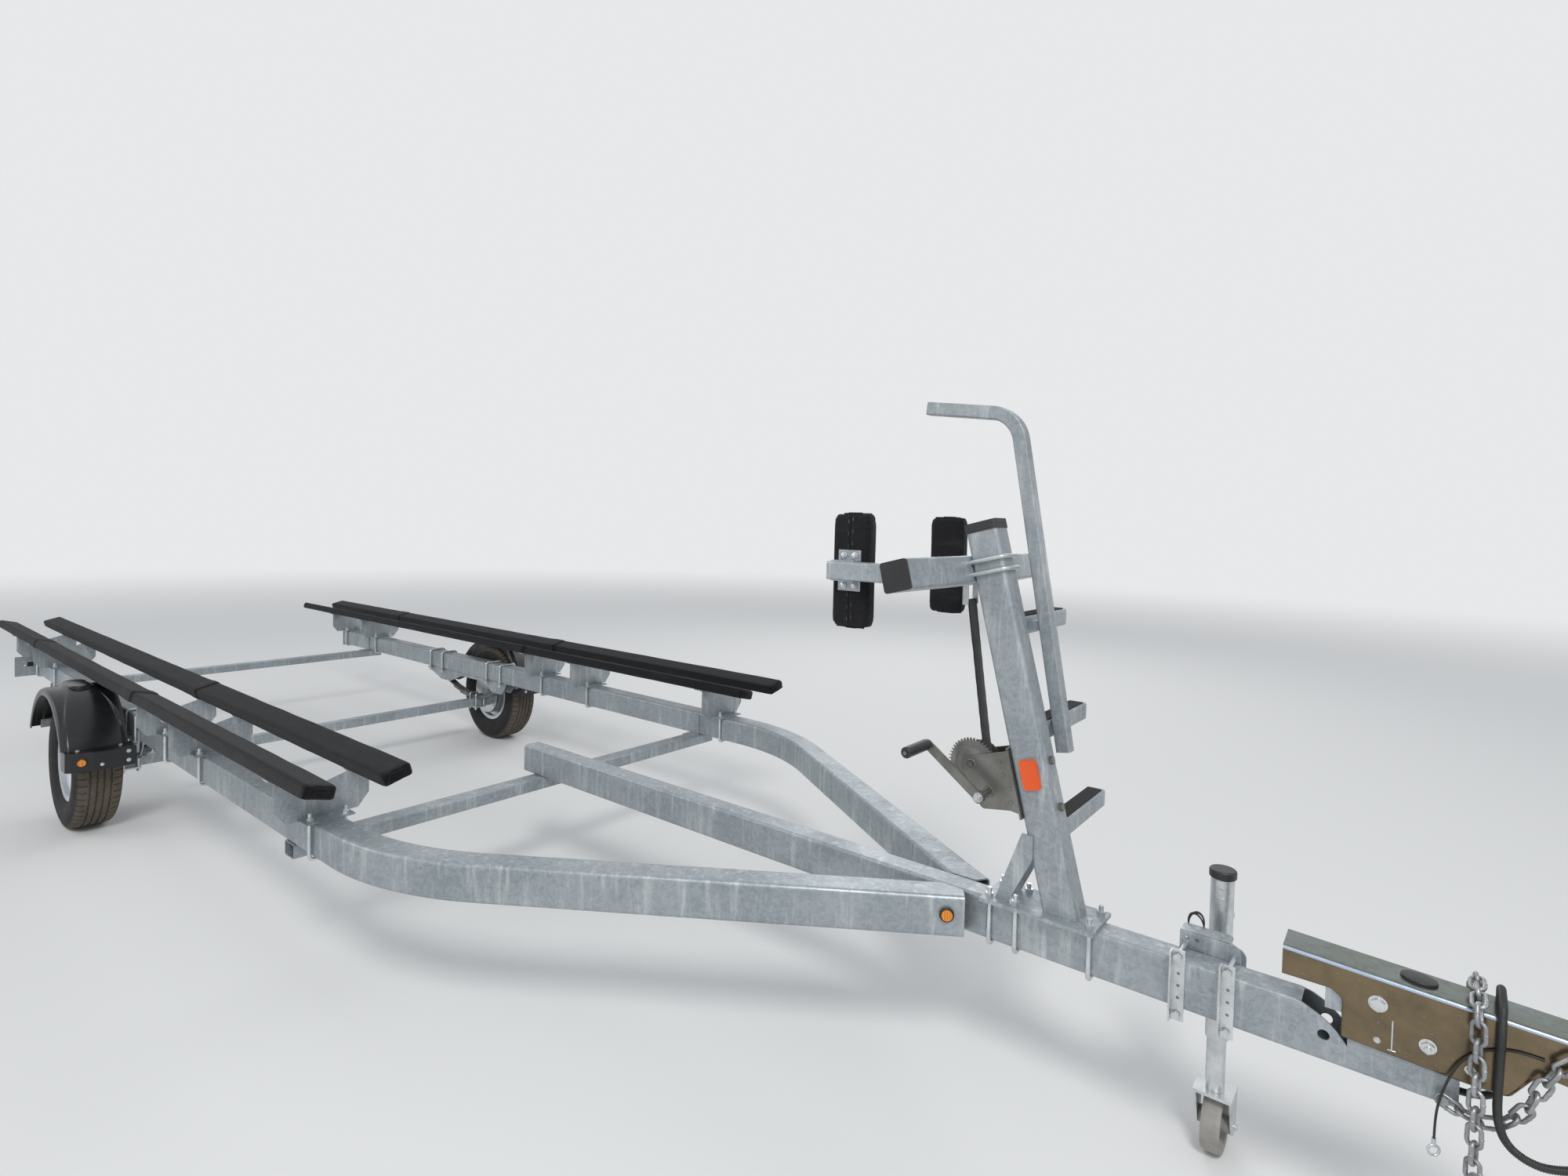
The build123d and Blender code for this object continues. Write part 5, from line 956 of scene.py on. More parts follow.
def treadRadius(settings, side, fraction, across, radius):
    # notches in the shoulders and sipes in the ribs, staggered from side to side
    shifted = (fraction + (0.5 if side < 0 else 0.0)) % 1.0
    onShoulder = across > settings["notchFrom"] and radius > settings["notchAbove"]
    notchStart, notchEnd = settings["notchSpan"]
    if onShoulder and notchStart < shifted < notchEnd:
        fadeLow, fadeHigh = settings["notchFade"]
        return radius - settings["notchDepth"] * min(1.0, (radius - fadeLow) / (fadeHigh - fadeLow))
    onRib = any(low < across < high for low, high in settings["sipedRibs"])
    atSipe = any(abs(shifted - sipe) < settings["sipeHalf"] for sipe in settings["sipes"])
    return radius - settings["sipeDepth"] * (onRib and atSipe)


def tyrePiece(name, settings, wheelSide):
    # a grid rolled up twice: round the section, and round the axle
    half = settings["crown"] + settings["wall"]
    outside = [(-1, *row) for row in reversed(half)] + [(1, *row) for row in half[1:]]
    inside = [(1, *row) for row in settings["liner"]] + [(-1, *row) for row in reversed(settings["liner"])]
    section = outside + inside + outside[:1]
    stations = [(pitch, part) for pitch in range(settings["pitches"]) for part in settings["columns"]]
    stations.append((settings["pitches"], 0.0))
    places = []
    for pitch, fraction in stations:
        angle = 2 * math.pi * (pitch + fraction) / settings["pitches"]
        for k, (side, across, radius) in enumerate(section):
            onLiner = len(outside) <= k < len(outside) + len(inside)
            reach = radius if onLiner else treadRadius(settings, side, fraction, across, radius)
            y = side * across
            if across in settings["wavy"]:
                way = 1 if across < settings["waveTurnsAt"] else -1
                y += settings["wave"] * math.sin(2 * math.pi * fraction) * way
            x, z = wheelX + reach * math.cos(angle), wheelZ + reach * math.sin(angle)
            places.append((x, wheelSide * wheelY + y, z))
    tyre = gridPiece(name, len(section) - 1, len(stations) - 1)
    return smoothed(facedOut(pointsSet(tyre, places)), 38)


for sideName, wheelSide in (("left", 1), ("right", -1)):
    tyre = tyrePiece("tyreTread_" + sideName, treadSettings, wheelSide)
    dressed(tyre, "wheel_" + sideName, "tyre", replaced=("tyre_" + sideName,))
print("tyres set")

# Fenders: a moulded arch whose crown band widens towards its front end, with a lip and an oval pad
fenderSettings = {
    "middle": (wheelX, 0.296), "radius": 0.388, "inset": 0.0005, "innerY": 1.030, "width": 0.238,
    "wall": 0.0044, "crown": 0.009, "ridge": 0.010, "frontZ": 0.4485, "rearZ": 0.4405, "lipRound": 0.014,
    "rows": 72, "columns": 44, "bandTurns": (0.10, 0.92), "bandTop": (0.076, 0.166),
    "bandFront": (0.022, 0.214), "bandRear": (0.060, 0.182),
    # the lip's edge, from the arch's outer corner: along y, and out from the axle
    "lipEdge": ((0.0, -0.032), (-0.0015, -0.036), (-0.0045, -0.0368)),
    "padLength": 0.212, "padWidth": 0.086, "padThick": 0.030, "padRise": 0.003,
}


def fenderSection(settings, angle):
    # the arch's section at one angle: the raised band, the rounded edge and the lip
    ahead, behind = (softStep(way * math.cos(angle), *settings["bandTurns"]) for way in (1, -1))
    bands = zip(settings["bandTop"], settings["bandFront"], settings["bandRear"])
    inner, outer = (top + (front - top) * ahead + (rear - top) * behind for top, front, rear in bands)
    ridge, bend, base = settings["ridge"], settings["lipRound"], settings["radius"] - settings["inset"]
    flat = settings["width"] - bend
    section = []
    for k in range(settings["columns"] + 1):
        y = flat * k / settings["columns"]
        up = softStep(y, inner - ridge, inner) * (1 - softStep(y, outer, outer + ridge * 1.4))
        section.append((y, base + settings["crown"] * up))
    for k in range(1, 7):
        turn = math.pi / 2 * k / 6
        section.append((flat + bend * math.sin(turn), base - bend + bend * math.cos(turn)))
    return section + [(settings["width"] + y, base + reach) for y, reach in settings["lipEdge"]]


def fenderShell(settings):
    middleX, middleZ = settings["middle"]
    base, rows = settings["radius"] - settings["inset"], settings["rows"]
    first = math.pi - math.asin((settings["rearZ"] - middleZ) / base)
    last = math.asin((settings["frontZ"] - middleZ) / base)
    ends = {0: settings["rearZ"], rows: settings["frontZ"]}  # both ends are cut level
    places = []
    for row in range(rows + 1):
        angle = first + (last - first) * row / rows
        for y, reach in fenderSection(settings, angle):
            z = ends.get(row, middleZ + reach * math.sin(angle))
            places.append((middleX + reach * math.cos(angle), settings["innerY"] + y, z))
    shell = gridPiece("fenderShell", len(places) // (rows + 1) - 1, rows)
    pointsSet(shell, places)
    outwards = Vector(places[0]) - Vector((middleX, 0, middleZ))
    facesIn = shell.data.polygons[0].normal.dot(outwards) < 0
    shapedBy(shell, "SOLIDIFY", thickness=settings["wall"], offset=1.0 if facesIn else -1.0)
    return facedOut(shell)


def fenderPad(settings):
    # the oval pad on top: a disc pulled long and rounded at its rim
    middleX, middleZ = settings["middle"]
    length, width, thick = settings["padLength"], settings["padWidth"], settings["padThick"]
    top = middleZ + settings["radius"] + settings["crown"] + settings["padRise"]
    y = settings["innerY"] + sum(settings["bandTop"]) / 2
    pad = rodPiece("fenderPad", (0, 0, -thick), (0, 0, 0), width / 2, 64)
    for vertex in pad.data.vertices:
        if abs(vertex.co.x) > 1e-6:
            vertex.co.x += math.copysign((length - width) / 2, vertex.co.x)
    pad.data.transform(Matrix.Translation((middleX, y, top)))
    return rounded(pad, 0.006, 4, 50)


fender = joined([fenderShell(fenderSettings), fenderPad(fenderSettings)], "fender")
fenderPair = smoothed(bothSides([fender], "fenderPair"), 50)
dressed(fenderPair, "frame", "black_moulding", replaced=("fenders",))
print("fenders set")

# Carpeted boards: the long bunks, and the upright pads beside the winch post
bunkLow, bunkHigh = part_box("bunks")
padLow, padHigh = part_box("bow_pads")
boardSettings = {
    "bunkX": (bunkLow.x, bunkHigh.x), "bunkWide": 0.096, "bunkThick": 0.046, "railY": 0.950, "offY": 0.115,
    "middleZ": 0.72615, "tilt": 15.0,
    # each lap of the carpet: its front edge and its length
    "outerLaps": ((-2.735, 0.16), (-0.715, 0.13)), "innerLaps": ((-0.695, 0.10),), "lapRise": 0.0030,
    "lapEdge": (-0.0012, 0.0012, -0.010, -0.022), "lapShares": (0.5, 0.75, 1.0), "lapSteep": 0.45,
    "padLong": padHigh.z - padLow.z, "padWide": padHigh.x - padLow.x, "padThick": 0.040,
    "edge": 0.011, "cutPitch": 0.05, "lump": 0.0011, "lumpAtEnd": 1.6,
    "tuckLong": 0.030, "tuckWide": 0.05, "tuckThick": 0.15, "tuckShares": (0.25, 0.5, 0.75, 1.0),
    "flap": 0.0028, "flapNarrow": 0.62, "flapSeat": 0.002, "flapEdge": 0.0012,
    # shares of the board's width and thickness, for a flap and for the smaller fold on it
    "flapShare": (0.78, 0.62), "foldShare": (0.40, 0.34), "foldOut": 0.6, "foldDown": 0.14,
    "slitCuts": (0.0095, 0.0042, 0.0010), "slitHalf": 0.0015, "slitDepth": 0.0030,
    "slitLip": 0.0012, "slitLipReach": 0.011, "slitLipFade": 0.006,
    "stapleX": 0.0065, "stapleGap": 0.0323, "stapleShift": 0.006, "stapleFree": 0.062, "stapleLong": 0.010,
    "stapleRadius": 0.0007, "stapleProud": 0.0006,
}


def endFlap(name, reach, wide, thick, upsideDown, settings):
    # one folded flap of carpet on the end of a board, wide at its fold and narrower below
    side = 1 if reach > 0 else -1
    near, far = sorted((reach - side * settings["flapSeat"], reach + side * settings["flap"]))
    flap = boxPiece(name, (near, -wide / 2, -thick / 2), (far, wide / 2, thick / 2))
    for vertex in flap.data.vertices:
        if (vertex.co.z < 0) != upsideDown:
            vertex.co.y *= settings["flapNarrow"]
    return rounded(flap, settings["flapEdge"], 2)


def boardFlaps(name, half, wide, thick, settings):
    # a flap and a smaller fold on it at each end, turned over from one end to the other
    flapSize = [size * share for size, share in zip((wide, thick), settings["flapShare"])]
    foldSize = [size * share for size, share in zip((wide, thick), settings["foldShare"])]
    parts = []
    for side in (-1, 1):
        parts.append(endFlap(name + "Flap", side * half, *flapSize, side > 0, settings))
        reach = side * (half + settings["flap"] * settings["foldOut"])
        fold = endFlap(name + "Fold", reach, *foldSize, side < 0, settings)
        fold.data.transform(Matrix.Translation((0, 0, -side * thick * settings["foldDown"])))
        parts.append(fold)
    return parts


def boardCut(board, half, wide, laps, slit, settings):
    # enough cuts for the lumps, the tucked ends, the laps' edges and the slit
    cutAlong(board, 0, half, min(int(2 * (half + settings["flap"]) / settings["cutPitch"]), 100))
    cutAlong(board, 1, wide / 2 - settings["edge"], 5)
    tucks = [half - settings["tuckLong"] * share for share in settings["tuckShares"]]
    cutAcross(board, 0, tucks + [-place for place in tucks])
    for place, reach in laps:
        cutAcross(board, 0, [place + offset for offset in settings["lapEdge"]])
        cutAcross(board, 0, [place - reach * share for share in settings["lapShares"]])
    if slit:
        cutAcross(board, 1, [side * place for side in (-1, 1) for place in settings["slitCuts"]])


def carpetBoard(name, length, wide, thick, laps, slit, settings):
    half = length / 2 - settings["flap"]
    board = boxPiece(name, (-half, -wide / 2, -thick / 2), (half, wide / 2, thick / 2), settings["edge"], 4)
    boardCut(board, half, wide, laps, slit, settings)
    normals = [vertex.normal.copy() for vertex in board.data.vertices]
    for vertex, out in zip(board.data.vertices, normals):
        x, y, z = vertex.co
        atEnd = softStep(abs(x), half - settings["tuckLong"], half)
        spot = Vector((x * (7 + 20 * atEnd), y * 22, z * 22 + wide * 40))
        push = settings["lump"] * (1 + settings["lumpAtEnd"] * atEnd) * noise.noise(spot)
        for place, reach in laps:
            if place - reach < x < place:
                push += settings["lapRise"] * softStep(x, place - reach, place - settings["lapSteep"] * reach)
        if slit and z > thick / 2 - 0.002:
            inside = settings["slitLipReach"] - abs(y)
            push += settings["slitLip"] * softStep(inside, 0.0, settings["slitLipFade"])
            push -= settings["slitDepth"] * (abs(y) < settings["slitHalf"])
        vertex.co += out * push
        vertex.co.y *= 1 - settings["tuckWide"] * atEnd
        vertex.co.z *= 1 - settings["tuckThick"] * atEnd
    flaps = boardFlaps(name, half, wide, thick, settings)
    return smoothed(joined([board] + flaps, name), 55)


def bunkBoards(settings):
    start, end = settings["bunkX"]
    middle = (start + end) / 2
    boards = []
    for lean, laps in ((1, settings["outerLaps"]), (-1, settings["innerLaps"])):
        laps = [(place - middle, reach) for place, reach in laps]
        size = (end - start, settings["bunkWide"], settings["bunkThick"])
        board = carpetBoard("bunkBoard", *size, laps, False, settings)
        place = (middle, settings["railY"] + lean * settings["offY"], settings["middleZ"])
        boards.append(turned(board, place, lean * settings["tilt"], "X"))
    return bothSides(boards, "bunkCarpet")


def padMiddle(settings):
    x, y, z = middleOf(padLow, padHigh)
    return x, padHigh.y - settings["padThick"] / 2, z


def bowPads(settings):
    size = (settings["padLong"], settings["padWide"], settings["padThick"])
    pad = carpetBoard("bowPad", *size, [], True, settings)
    upright = Matrix(((0, 1, 0, 0), (0, 0, 1, 0), (1, 0, 0, 0), (0, 0, 0, 1)))
    pad.data.transform(Matrix.Translation(padMiddle(settings)) @ upright)
    return bothSides([pad], "bowPads")


def padStaples(settings):
    # small wire staples along both sides of each slit, apart from its middle, where the bracket is
    x, y, z = padMiddle(settings)
    y = padHigh.y + settings["stapleProud"]
    half = settings["stapleLong"] / 2
    staples = []
    for step in range(-4, 5):
        for side, shift in ((-1, 0), (1, settings["stapleShift"])):
            up = step * settings["stapleGap"] + shift
            if abs(up) > settings["stapleFree"]:
                ends = [(x + side * settings["stapleX"], y, z + up + reach) for reach in (-half, half)]
                staples.append(rodPiece("staple", *ends, settings["stapleRadius"], 6))
    return bothSides(staples, "padStaples")


dressed(smoothed(bunkBoards(boardSettings), 55), "frame", "carpet", replaced=("bunks",))
dressed(smoothed(bowPads(boardSettings), 55), "frame", "pad_carpet", "carpet", replaced=("bow_pads",))
dressed(padStaples(boardSettings), "frame", "spring_steel")
print("carpeted boards set")

# Winch strap: doubled and sewn where it turns round its pin, and wound in a flat spiral on the drum
strapSettings = {
    "low": (2.6874, 0.9213), "high": (2.6261, 1.3500), "wide": 0.050, "thick": 0.0018, "edge": 0.0006,
    "sewn": 0.115, "bow": 0.0022, "ripple": 0.0003, "coilRadius": 0.0268,
    "pin": (2.6208, 1.3500), "pinRadius": 0.0052,
    "stitchLong": 0.0036, "stitchPitch": 0.0052, "stitchRadius": 0.0005,
}


def strapStitches(settings, length):
    # a box of stitches: two rows along the strap, one across it near each end of the fold
    x = -settings["thick"] - 0.0004
    fold = length - settings["sewn"]
    stitches = []
    for way, count, starts in (
        ((0, 0, 1), 15, [(x, -0.018, fold + 0.010), (x, 0.018, fold + 0.010)]),
        ((0, 1, 0), 7, [(x, -0.0178, fold + 0.008), (x, -0.0178, length - 0.030)]),
    ):
        for first in starts:
            for step in range(count):
                start = Vector(first) + Vector(way) * step * settings["stitchPitch"]
                end = start + Vector(way) * settings["stitchLong"]
                stitches.append(rodPiece("stitch", start, end, settings["stitchRadius"], 5))
    return stitches


def strapPiece(settings):
    (lowX, lowZ), (highX, highZ) = settings["low"], settings["high"]
    along = Vector((highX - lowX, 0, highZ - lowZ))
    length, half, thick = along.length, settings["wide"] / 2, settings["thick"]
    main = boxPiece("strapMain", (0, -half, 0), (thick, half, length - 0.002), settings["edge"], 2)
    cutAlong(main, 2, length / 2, 48)
    cutAlong(main, 1, half, 8)
    for vertex in main.data.vertices:
        share = vertex.co.z / length
        curl = (vertex.co.y / half) ** 2
        vertex.co.x += settings["bow"] * math.sin(math.pi * share) * (0.55 - curl)
        vertex.co.x += settings["ripple"] * math.sin(share * 60 + vertex.co.y * 70)
    low = (-thick - 0.0002, -half + 0.0012, length - settings["sewn"])
    high = (-0.0002, half - 0.0010, length - 0.004)
    fold = boxPiece("strapFold", low, high, settings["edge"], 2)
    cutAlong(fold, 2, settings["sewn"] / 2, 12)
    piece = joined([main, fold] + strapStitches(settings, length), "winchWebbing")
    return turned(piece, (lowX, 0, lowZ), math.degrees(math.atan2(along.x, along.z)))


def pinLoop(settings):
    # the strap's turn round the pin
    x, z = settings["pin"]
    outer = settings["pinRadius"] + settings["thick"]
    wide = settings["wide"] - 0.001
    bpy.ops.mesh.primitive_cylinder_add(vertices=28, radius=outer, depth=wide, end_fill_type="NOTHING")
    loop = bpy.context.object
    loop.rotation_euler = (math.pi / 2, 0, 0)
    loop.location = (x, 0, z)
    return shapedBy(settle(loop, "pinLoop"), "SOLIDIFY", thickness=settings["thick"], offset=-1.0)


def coilPiece(settings):
    # the outer turn is a spiral, with a step where the strap leaves it
    half, radius = settings["wide"] / 2, settings["coilRadius"]
    bpy.ops.mesh.primitive_cylinder_add(vertices=72, radius=radius, depth=2 * half)
    coil = bpy.context.object
    coil.rotation_euler = (math.pi / 2, 0, 0)
    rounded(settle(coil, "strapCoilTurns"), settings["edge"], 2, 60)
    cutAlong(coil, 1, half, 6)
    for vertex in coil.data.vertices:
        share = math.atan2(vertex.co.z, vertex.co.x) % (2 * math.pi) / (2 * math.pi)
        reach = 1.0 - settings["thick"] * (1 - share) / radius
        reach += 0.010 * noise.noise(Vector((vertex.co.x * 90, vertex.co.y * 60, vertex.co.z * 90)))
        vertex.co.x *= reach
        vertex.co.z *= reach
    coil.data.transform(Matrix.Translation((drumX, 0, drumZ)))
    return coil


strap = joined([strapPiece(strapSettings), pinLoop(strapSettings)], "winchWebbing")
dressed(smoothed(strap, 40), "frame", "webbing", replaced=("winch_strap",))
dressed(smoothed(coilPiece(strapSettings), 40), "winch_drum", "webbing", replaced=("strap_coil",))
print("webbing set")

# Bolts: a chamfered hexagon on a washer, with the thread's end where it comes through
boltSettings = {
    "washerThick": 0.0018, "washerReach": 0.68, "washerEdge": 0.0004, "chamfer": 0.0009,
    "threadShare": 0.29, "threadEdge": 0.0008, "sunk": 0.0004, "threadSunk": 0.0005,
    "shafts": ((3.559, 0.613), (3.640, 0.560)), "shaftHalf": 0.0478, "shaftRadius": 0.009,
}
# each row: place, outward direction, width across flats, height, thread past the head
boltRows = {
    "coupler": (
        ((3.559, 0.048, 0.613), (0, 1, 0), 0.024, 0.0085, 0.0),
        ((3.640, 0.048, 0.560), (0, 1, 0), 0.021, 0.0095, 0.007),
        ((3.704, 0.048, 0.541), (0, 1, 0), 0.013, 0.0060, 0.0),
        ((3.560, 0.048, 0.539), (0, 1, 0), 0.009, 0.0035, 0.0),
    ),
    "padTabs": [
        ((x, 0.295, z), (0, 1, 0), 0.013, 0.0055, 0.0) for z in (1.4725, 1.3935) for x in (2.396, 2.430)
    ],
    "step": (
        ((-1.100, 1.062, 0.448), (0, 0, 1), 0.013, 0.0040, 0.0),
        ((-1.100, 1.215, 0.448), (0, 0, 1), 0.013, 0.0040, 0.0),
        ((-1.043, 1.045, 0.428), (1, 0, 0), 0.013, 0.0045, 0.0),
        ((-1.043, 1.045, 0.386), (1, 0, 0), 0.013, 0.0045, 0.0),
        ((-1.043, 1.140, 0.386), (1, 0, 0), 0.011, 0.0040, 0.0),
    ),
    "lampPlates": (
        ((-3.450, 0.930, 0.545), (1, 0, 0), 0.013, 0.0050, 0.005),
        ((-3.450, 0.985, 0.507), (1, 0, 0), 0.010, 0.0045, 0.006),
        ((-3.450, 1.050, 0.507), (1, 0, 0), 0.010, 0.0045, 0.006),
    ),
}


def hexBolt(settings, place, along, across, high, thread):
    place, along = Vector(place), Vector(along).normalized()
    seat = place + along * settings["washerThick"]
    top = seat + along * high
    sunk = along * settings["sunk"]
    washerRadius, corner = across * settings["washerReach"], across / 2 / math.cos(math.pi / 6)
    parts = [
        rodPiece("washer", place - sunk, seat, washerRadius, 28, settings["washerEdge"]),
        rodPiece("head", seat - sunk / 2, top, corner, 6, settings["chamfer"]),
    ]
    if thread:
        start, radius = top - along * settings["threadSunk"], across * settings["threadShare"]
        parts.append(rodPiece("thread", start, top + along * thread, radius, 16, settings["threadEdge"]))
    return joined(parts, "bolt")


def boltGroup(name):
    bolts = [hexBolt(boltSettings, *row) for row in boltRows[name]]
    return smoothed(bothSides(bolts, name + "Bolts"), 30)


def boltShafts(settings):
    # the coupler's two large bolts run from plate to plate
    shafts = []
    for x, z in settings["shafts"]:
        ends = [(x, y, z) for y in (-settings["shaftHalf"], settings["shaftHalf"])]
        shafts.append(rodPiece("shaft", *ends, settings["shaftRadius"], 20))
    return shafts


couplerBolts = joined([boltGroup("coupler")] + boltShafts(boltSettings), "couplerBolts")
dressed(smoothed(couplerBolts, 30), "frame", "zinc", replaced=("coupler_bolts",))
for groupName in ("padTabs", "step", "lampPlates"):
    dressed(boltGroup(groupName), "frame", "zinc")
print("bolts set")

# Coupler trim: an oval cap on the housing, and a raised bead with a foot on each side plate
couplerSettings = {
    "cap": (3.6225, 0.0, 0.6655), "capLong": 0.062, "capWide": 0.050, "capHigh": 0.0045, "capSunk": 0.004,
    "capLean": 2.8, "capEdge": 0.002, "beadX": 3.584, "beadZ": (0.527, 0.588), "beadProud": 0.0002,
    "beadRadius": 0.0016, "footHalf": 0.007, "footRadius": 0.0013, "beadEdge": 0.001,
}


def housingCap(settings):
    cap = rodPiece("housingCap", (0, 0, -settings["capSunk"]), (0, 0, settings["capHigh"]), 0.5, 48)
    for vertex in cap.data.vertices:
        vertex.co.x *= settings["capLong"]
        vertex.co.y *= settings["capWide"]
    return rounded(turned(cap, settings["cap"], settings["capLean"]), settings["capEdge"], 3, 50)


def couplerBeads(settings):
    x, y = settings["beadX"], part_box("coupler")[1].y + settings["beadProud"]
    foot, edge = settings["footHalf"], settings["beadEdge"]
    low, high = settings["beadZ"]
    beads = [
        rodPiece("bead", (x, y, low), (x, y, high), settings["beadRadius"], 12, edge),
        rodPiece("beadFoot", (x - foot, y, low), (x + foot, y, low), settings["footRadius"], 12, edge),
    ]
    return bothSides(beads, "couplerBeads")


dressed(smoothed(housingCap(couplerSettings), 40), "coupler", "black_cap")
dressed(smoothed(couplerBeads(couplerSettings), 40), "coupler", "zinc")
print("coupler trim set")

# Jack mount: a bent plate behind the tongue and a swivel boss through it to the back plate, with its welds
mountLow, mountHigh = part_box("jack_bracket")
mountSettings = {
    "x": (mountLow.x, mountHigh.x), "y": (mountLow.y, 0.045), "z": (mountLow.z, mountHigh.z),
    "returnDepth": 0.050, "corner": 0.020,
    "lowCorner": 0.006, "returnCorner": 0.010, "edge": 0.0010, "returnEdge": 0.0014, "backEdge": 0.0012,
    "hole": 0.0045, "holes": ((3.188, 0.585), (3.210, 0.585)), "bossRadius": 0.028,
    "backY": (0.1200, mountHigh.y), "backZ": (0.450, 0.560), "backCorner": 0.022, "weld": 0.0032,
    "tubeRadius": 0.0265, "tubeWeldZ": 0.5365, "tubeWeld": 0.0030,
    "dimple": (3.239, 0.683), "dimpleRadius": 0.0068, "dimpleRim": 0.0013, "dimpleFloor": 0.0058,
    "mark": ((3.229, 0.657), (3.247, 0.6575)), "markRadius": 0.0014,
    "loopMiddle": (3.196, 0.098, 0.5965), "loopRadius": 0.017, "loopWire": 0.0019, "loopHigh": 1.65,
    "loops": ((-14, 0.0), (8, 0.004)), "pin": ((3.198, 0.060, 0.5735), (3.198, 0.1205, 0.5735)),
    "pinRadius": 0.0045,
}


def mountPlate(settings):
    (x0, x1), (y0, y1), (z0, z1) = settings["x"], settings["y"], settings["z"]
    plate = boxPiece("mountPlate", (x0, y0, z0), (x1, y1, z1))
    near = 0.001
    cornersRounded(plate, 1, settings["corner"], 6, lambda at: at.x > x1 - near and at.z > z1 - near)
    cornersRounded(plate, 1, settings["lowCorner"], 3, lambda at: at.z < z0 + near)
    rounded(plate, settings["edge"], 2)
    for x, z in settings["holes"]:
        pierced(plate, rodPiece("hole", (x, y0 - 0.002, z), (x, y1 + 0.002, z), settings["hole"], 20))
    return plate


def mountReturn(settings):
    (x0, x1), (y0, y1), (z0, z1) = settings["x"], settings["y"], settings["z"]
    low = (x0, y0 + 0.001, z1 - (y1 - y0))
    high = (x1 - settings["corner"] - 0.002, y0 + settings["returnDepth"], z1)
    top = boxPiece("mountReturn", low, high)
    cornersRounded(top, 2, settings["returnCorner"], 4, lambda at: at.y > y0 + 0.04)
    return rounded(top, settings["returnEdge"], 2)


def mountBack(settings):
    low, high = zip(settings["x"], settings["backY"], settings["backZ"])
    back = cornersRounded(boxPiece("mountBack", low, high), 1, settings["backCorner"], 6)
    return rounded(back, settings["backEdge"], 2)


def mountBoss(settings):
    radius = settings["bossRadius"]
    ends = [(jackX, y, jackZ) for y in (settings["y"][0] + 0.001, settings["backY"][1] - 0.001)]
    parts = [rodPiece("mountBoss", *ends, radius, 40, 0.001)]
    for y in (settings["y"][1], settings["backY"][0]):
        weldMiddle = (jackX, y, jackZ)
        parts.append(ringPiece("bossWeld", weldMiddle, (0, 1, 0), radius + 0.0005, settings["weld"], 48, 8))
    return parts


def jackTrim(settings):
    # a dimple and a weld mark high on the tube, and the welded ring where the swivel meets it
    front = jackY - settings["tubeRadius"]
    dimpleX, dimpleZ = settings["dimple"]
    rim, *floor = [(dimpleX, front + depth, dimpleZ) for depth in (0.0002, -0.0004, 0.003)]
    mark = [(markX, front - 0.0002, markZ) for markX, markZ in settings["mark"]]
    weldMiddle, weldRadius = (jackX, jackY, settings["tubeWeldZ"]), settings["tubeRadius"] + 0.0008
    parts = [
        ringPiece("tubeDimple", rim, (0, 1, 0), settings["dimpleRadius"], settings["dimpleRim"], 28, 8),
        rodPiece("dimpleFloor", *floor, settings["dimpleFloor"], 24, 0.0004),
        ringPiece("tubeWeld", weldMiddle, (0, 0, 1), weldRadius, settings["tubeWeld"], 56, 8),
        rodPiece("weldMark", *mark, settings["markRadius"], 10, 0.001),
    ]
    return joined(parts, "jackTrim")


def pullLoops(settings):
    # the swivel pin's pull loop: two strands of coated wire standing behind the plate
    x, y, z = settings["loopMiddle"]
    radius, wire = settings["loopRadius"], settings["loopWire"]
    parts = []
    for angle, lift in settings["loops"]:
        loop = ringPiece("pullLoop", (0, 0, 0), (0, 1, 0), radius, wire, 36, 8)
        for vertex in loop.data.vertices:
            vertex.co.z *= settings["loopHigh"]
        parts.append(turned(loop, (x, y, z + lift), angle))
    parts.append(rodPiece("pullPin", *settings["pin"], settings["pinRadius"], 18, 0.001))
    return joined(parts, "pullLoops")


mountParts = [mountPlate(mountSettings), mountReturn(mountSettings), mountBack(mountSettings)]
jackMount = joined(mountParts + mountBoss(mountSettings), "jackMount")
dressed(smoothed(jackMount, 35), "frame", "galvanised", replaced=("jack_bracket",))
dressed(smoothed(jackTrim(mountSettings), 40), "jack", "zinc")
dressed(smoothed(pullLoops(mountSettings), 40), "frame", "black_cap")
print("jack mount set")

# Marker lamps: a black rubber ring round each lens
lampRingSettings = {
    # place and outward direction in degrees from +X
    "rings": (((-1.0555, 1.208, 0.405), 16.2), ((2.6324, 0.1099, 0.5145), 56.7)),
    "radius": 0.0168, "thick": 0.0034, "proud": 0.0005,
}


def lampRings(settings):
    rings = []
    for place, angle in settings["rings"]:
        out = Vector((math.cos(math.radians(angle)), math.sin(math.radians(angle)), 0))
        middle = Vector(place) + out * settings["proud"]
        rings.append(ringPiece("lampRing", middle, out, settings["radius"], settings["thick"], 40, 10))
    return bothSides(rings, "lampRings")


dressed(smoothed(lampRings(lampRingSettings), 50), "frame", "black_cap")
print("lamp rings set")

# Tail lamps: a black housing, an amber and a red lens, raised ribs on the red one, and two screws
tailLow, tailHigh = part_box("tail_lamps")
tailSettings = {
    "x": (tailLow.x, tailHigh.x), "y": (0.943, tailHigh.y), "z": (tailLow.z, tailHigh.z),
    "housing": 0.020, "rim": 0.003,
    "amberShare": 0.34, "gap": 0.0006, "housingEdge": 0.006, "lensEdge": 0.007,
    "ribs": 5, "ribRadius": 0.0011, "screwRadius": 0.0034, "screwUp": 0.011,
}


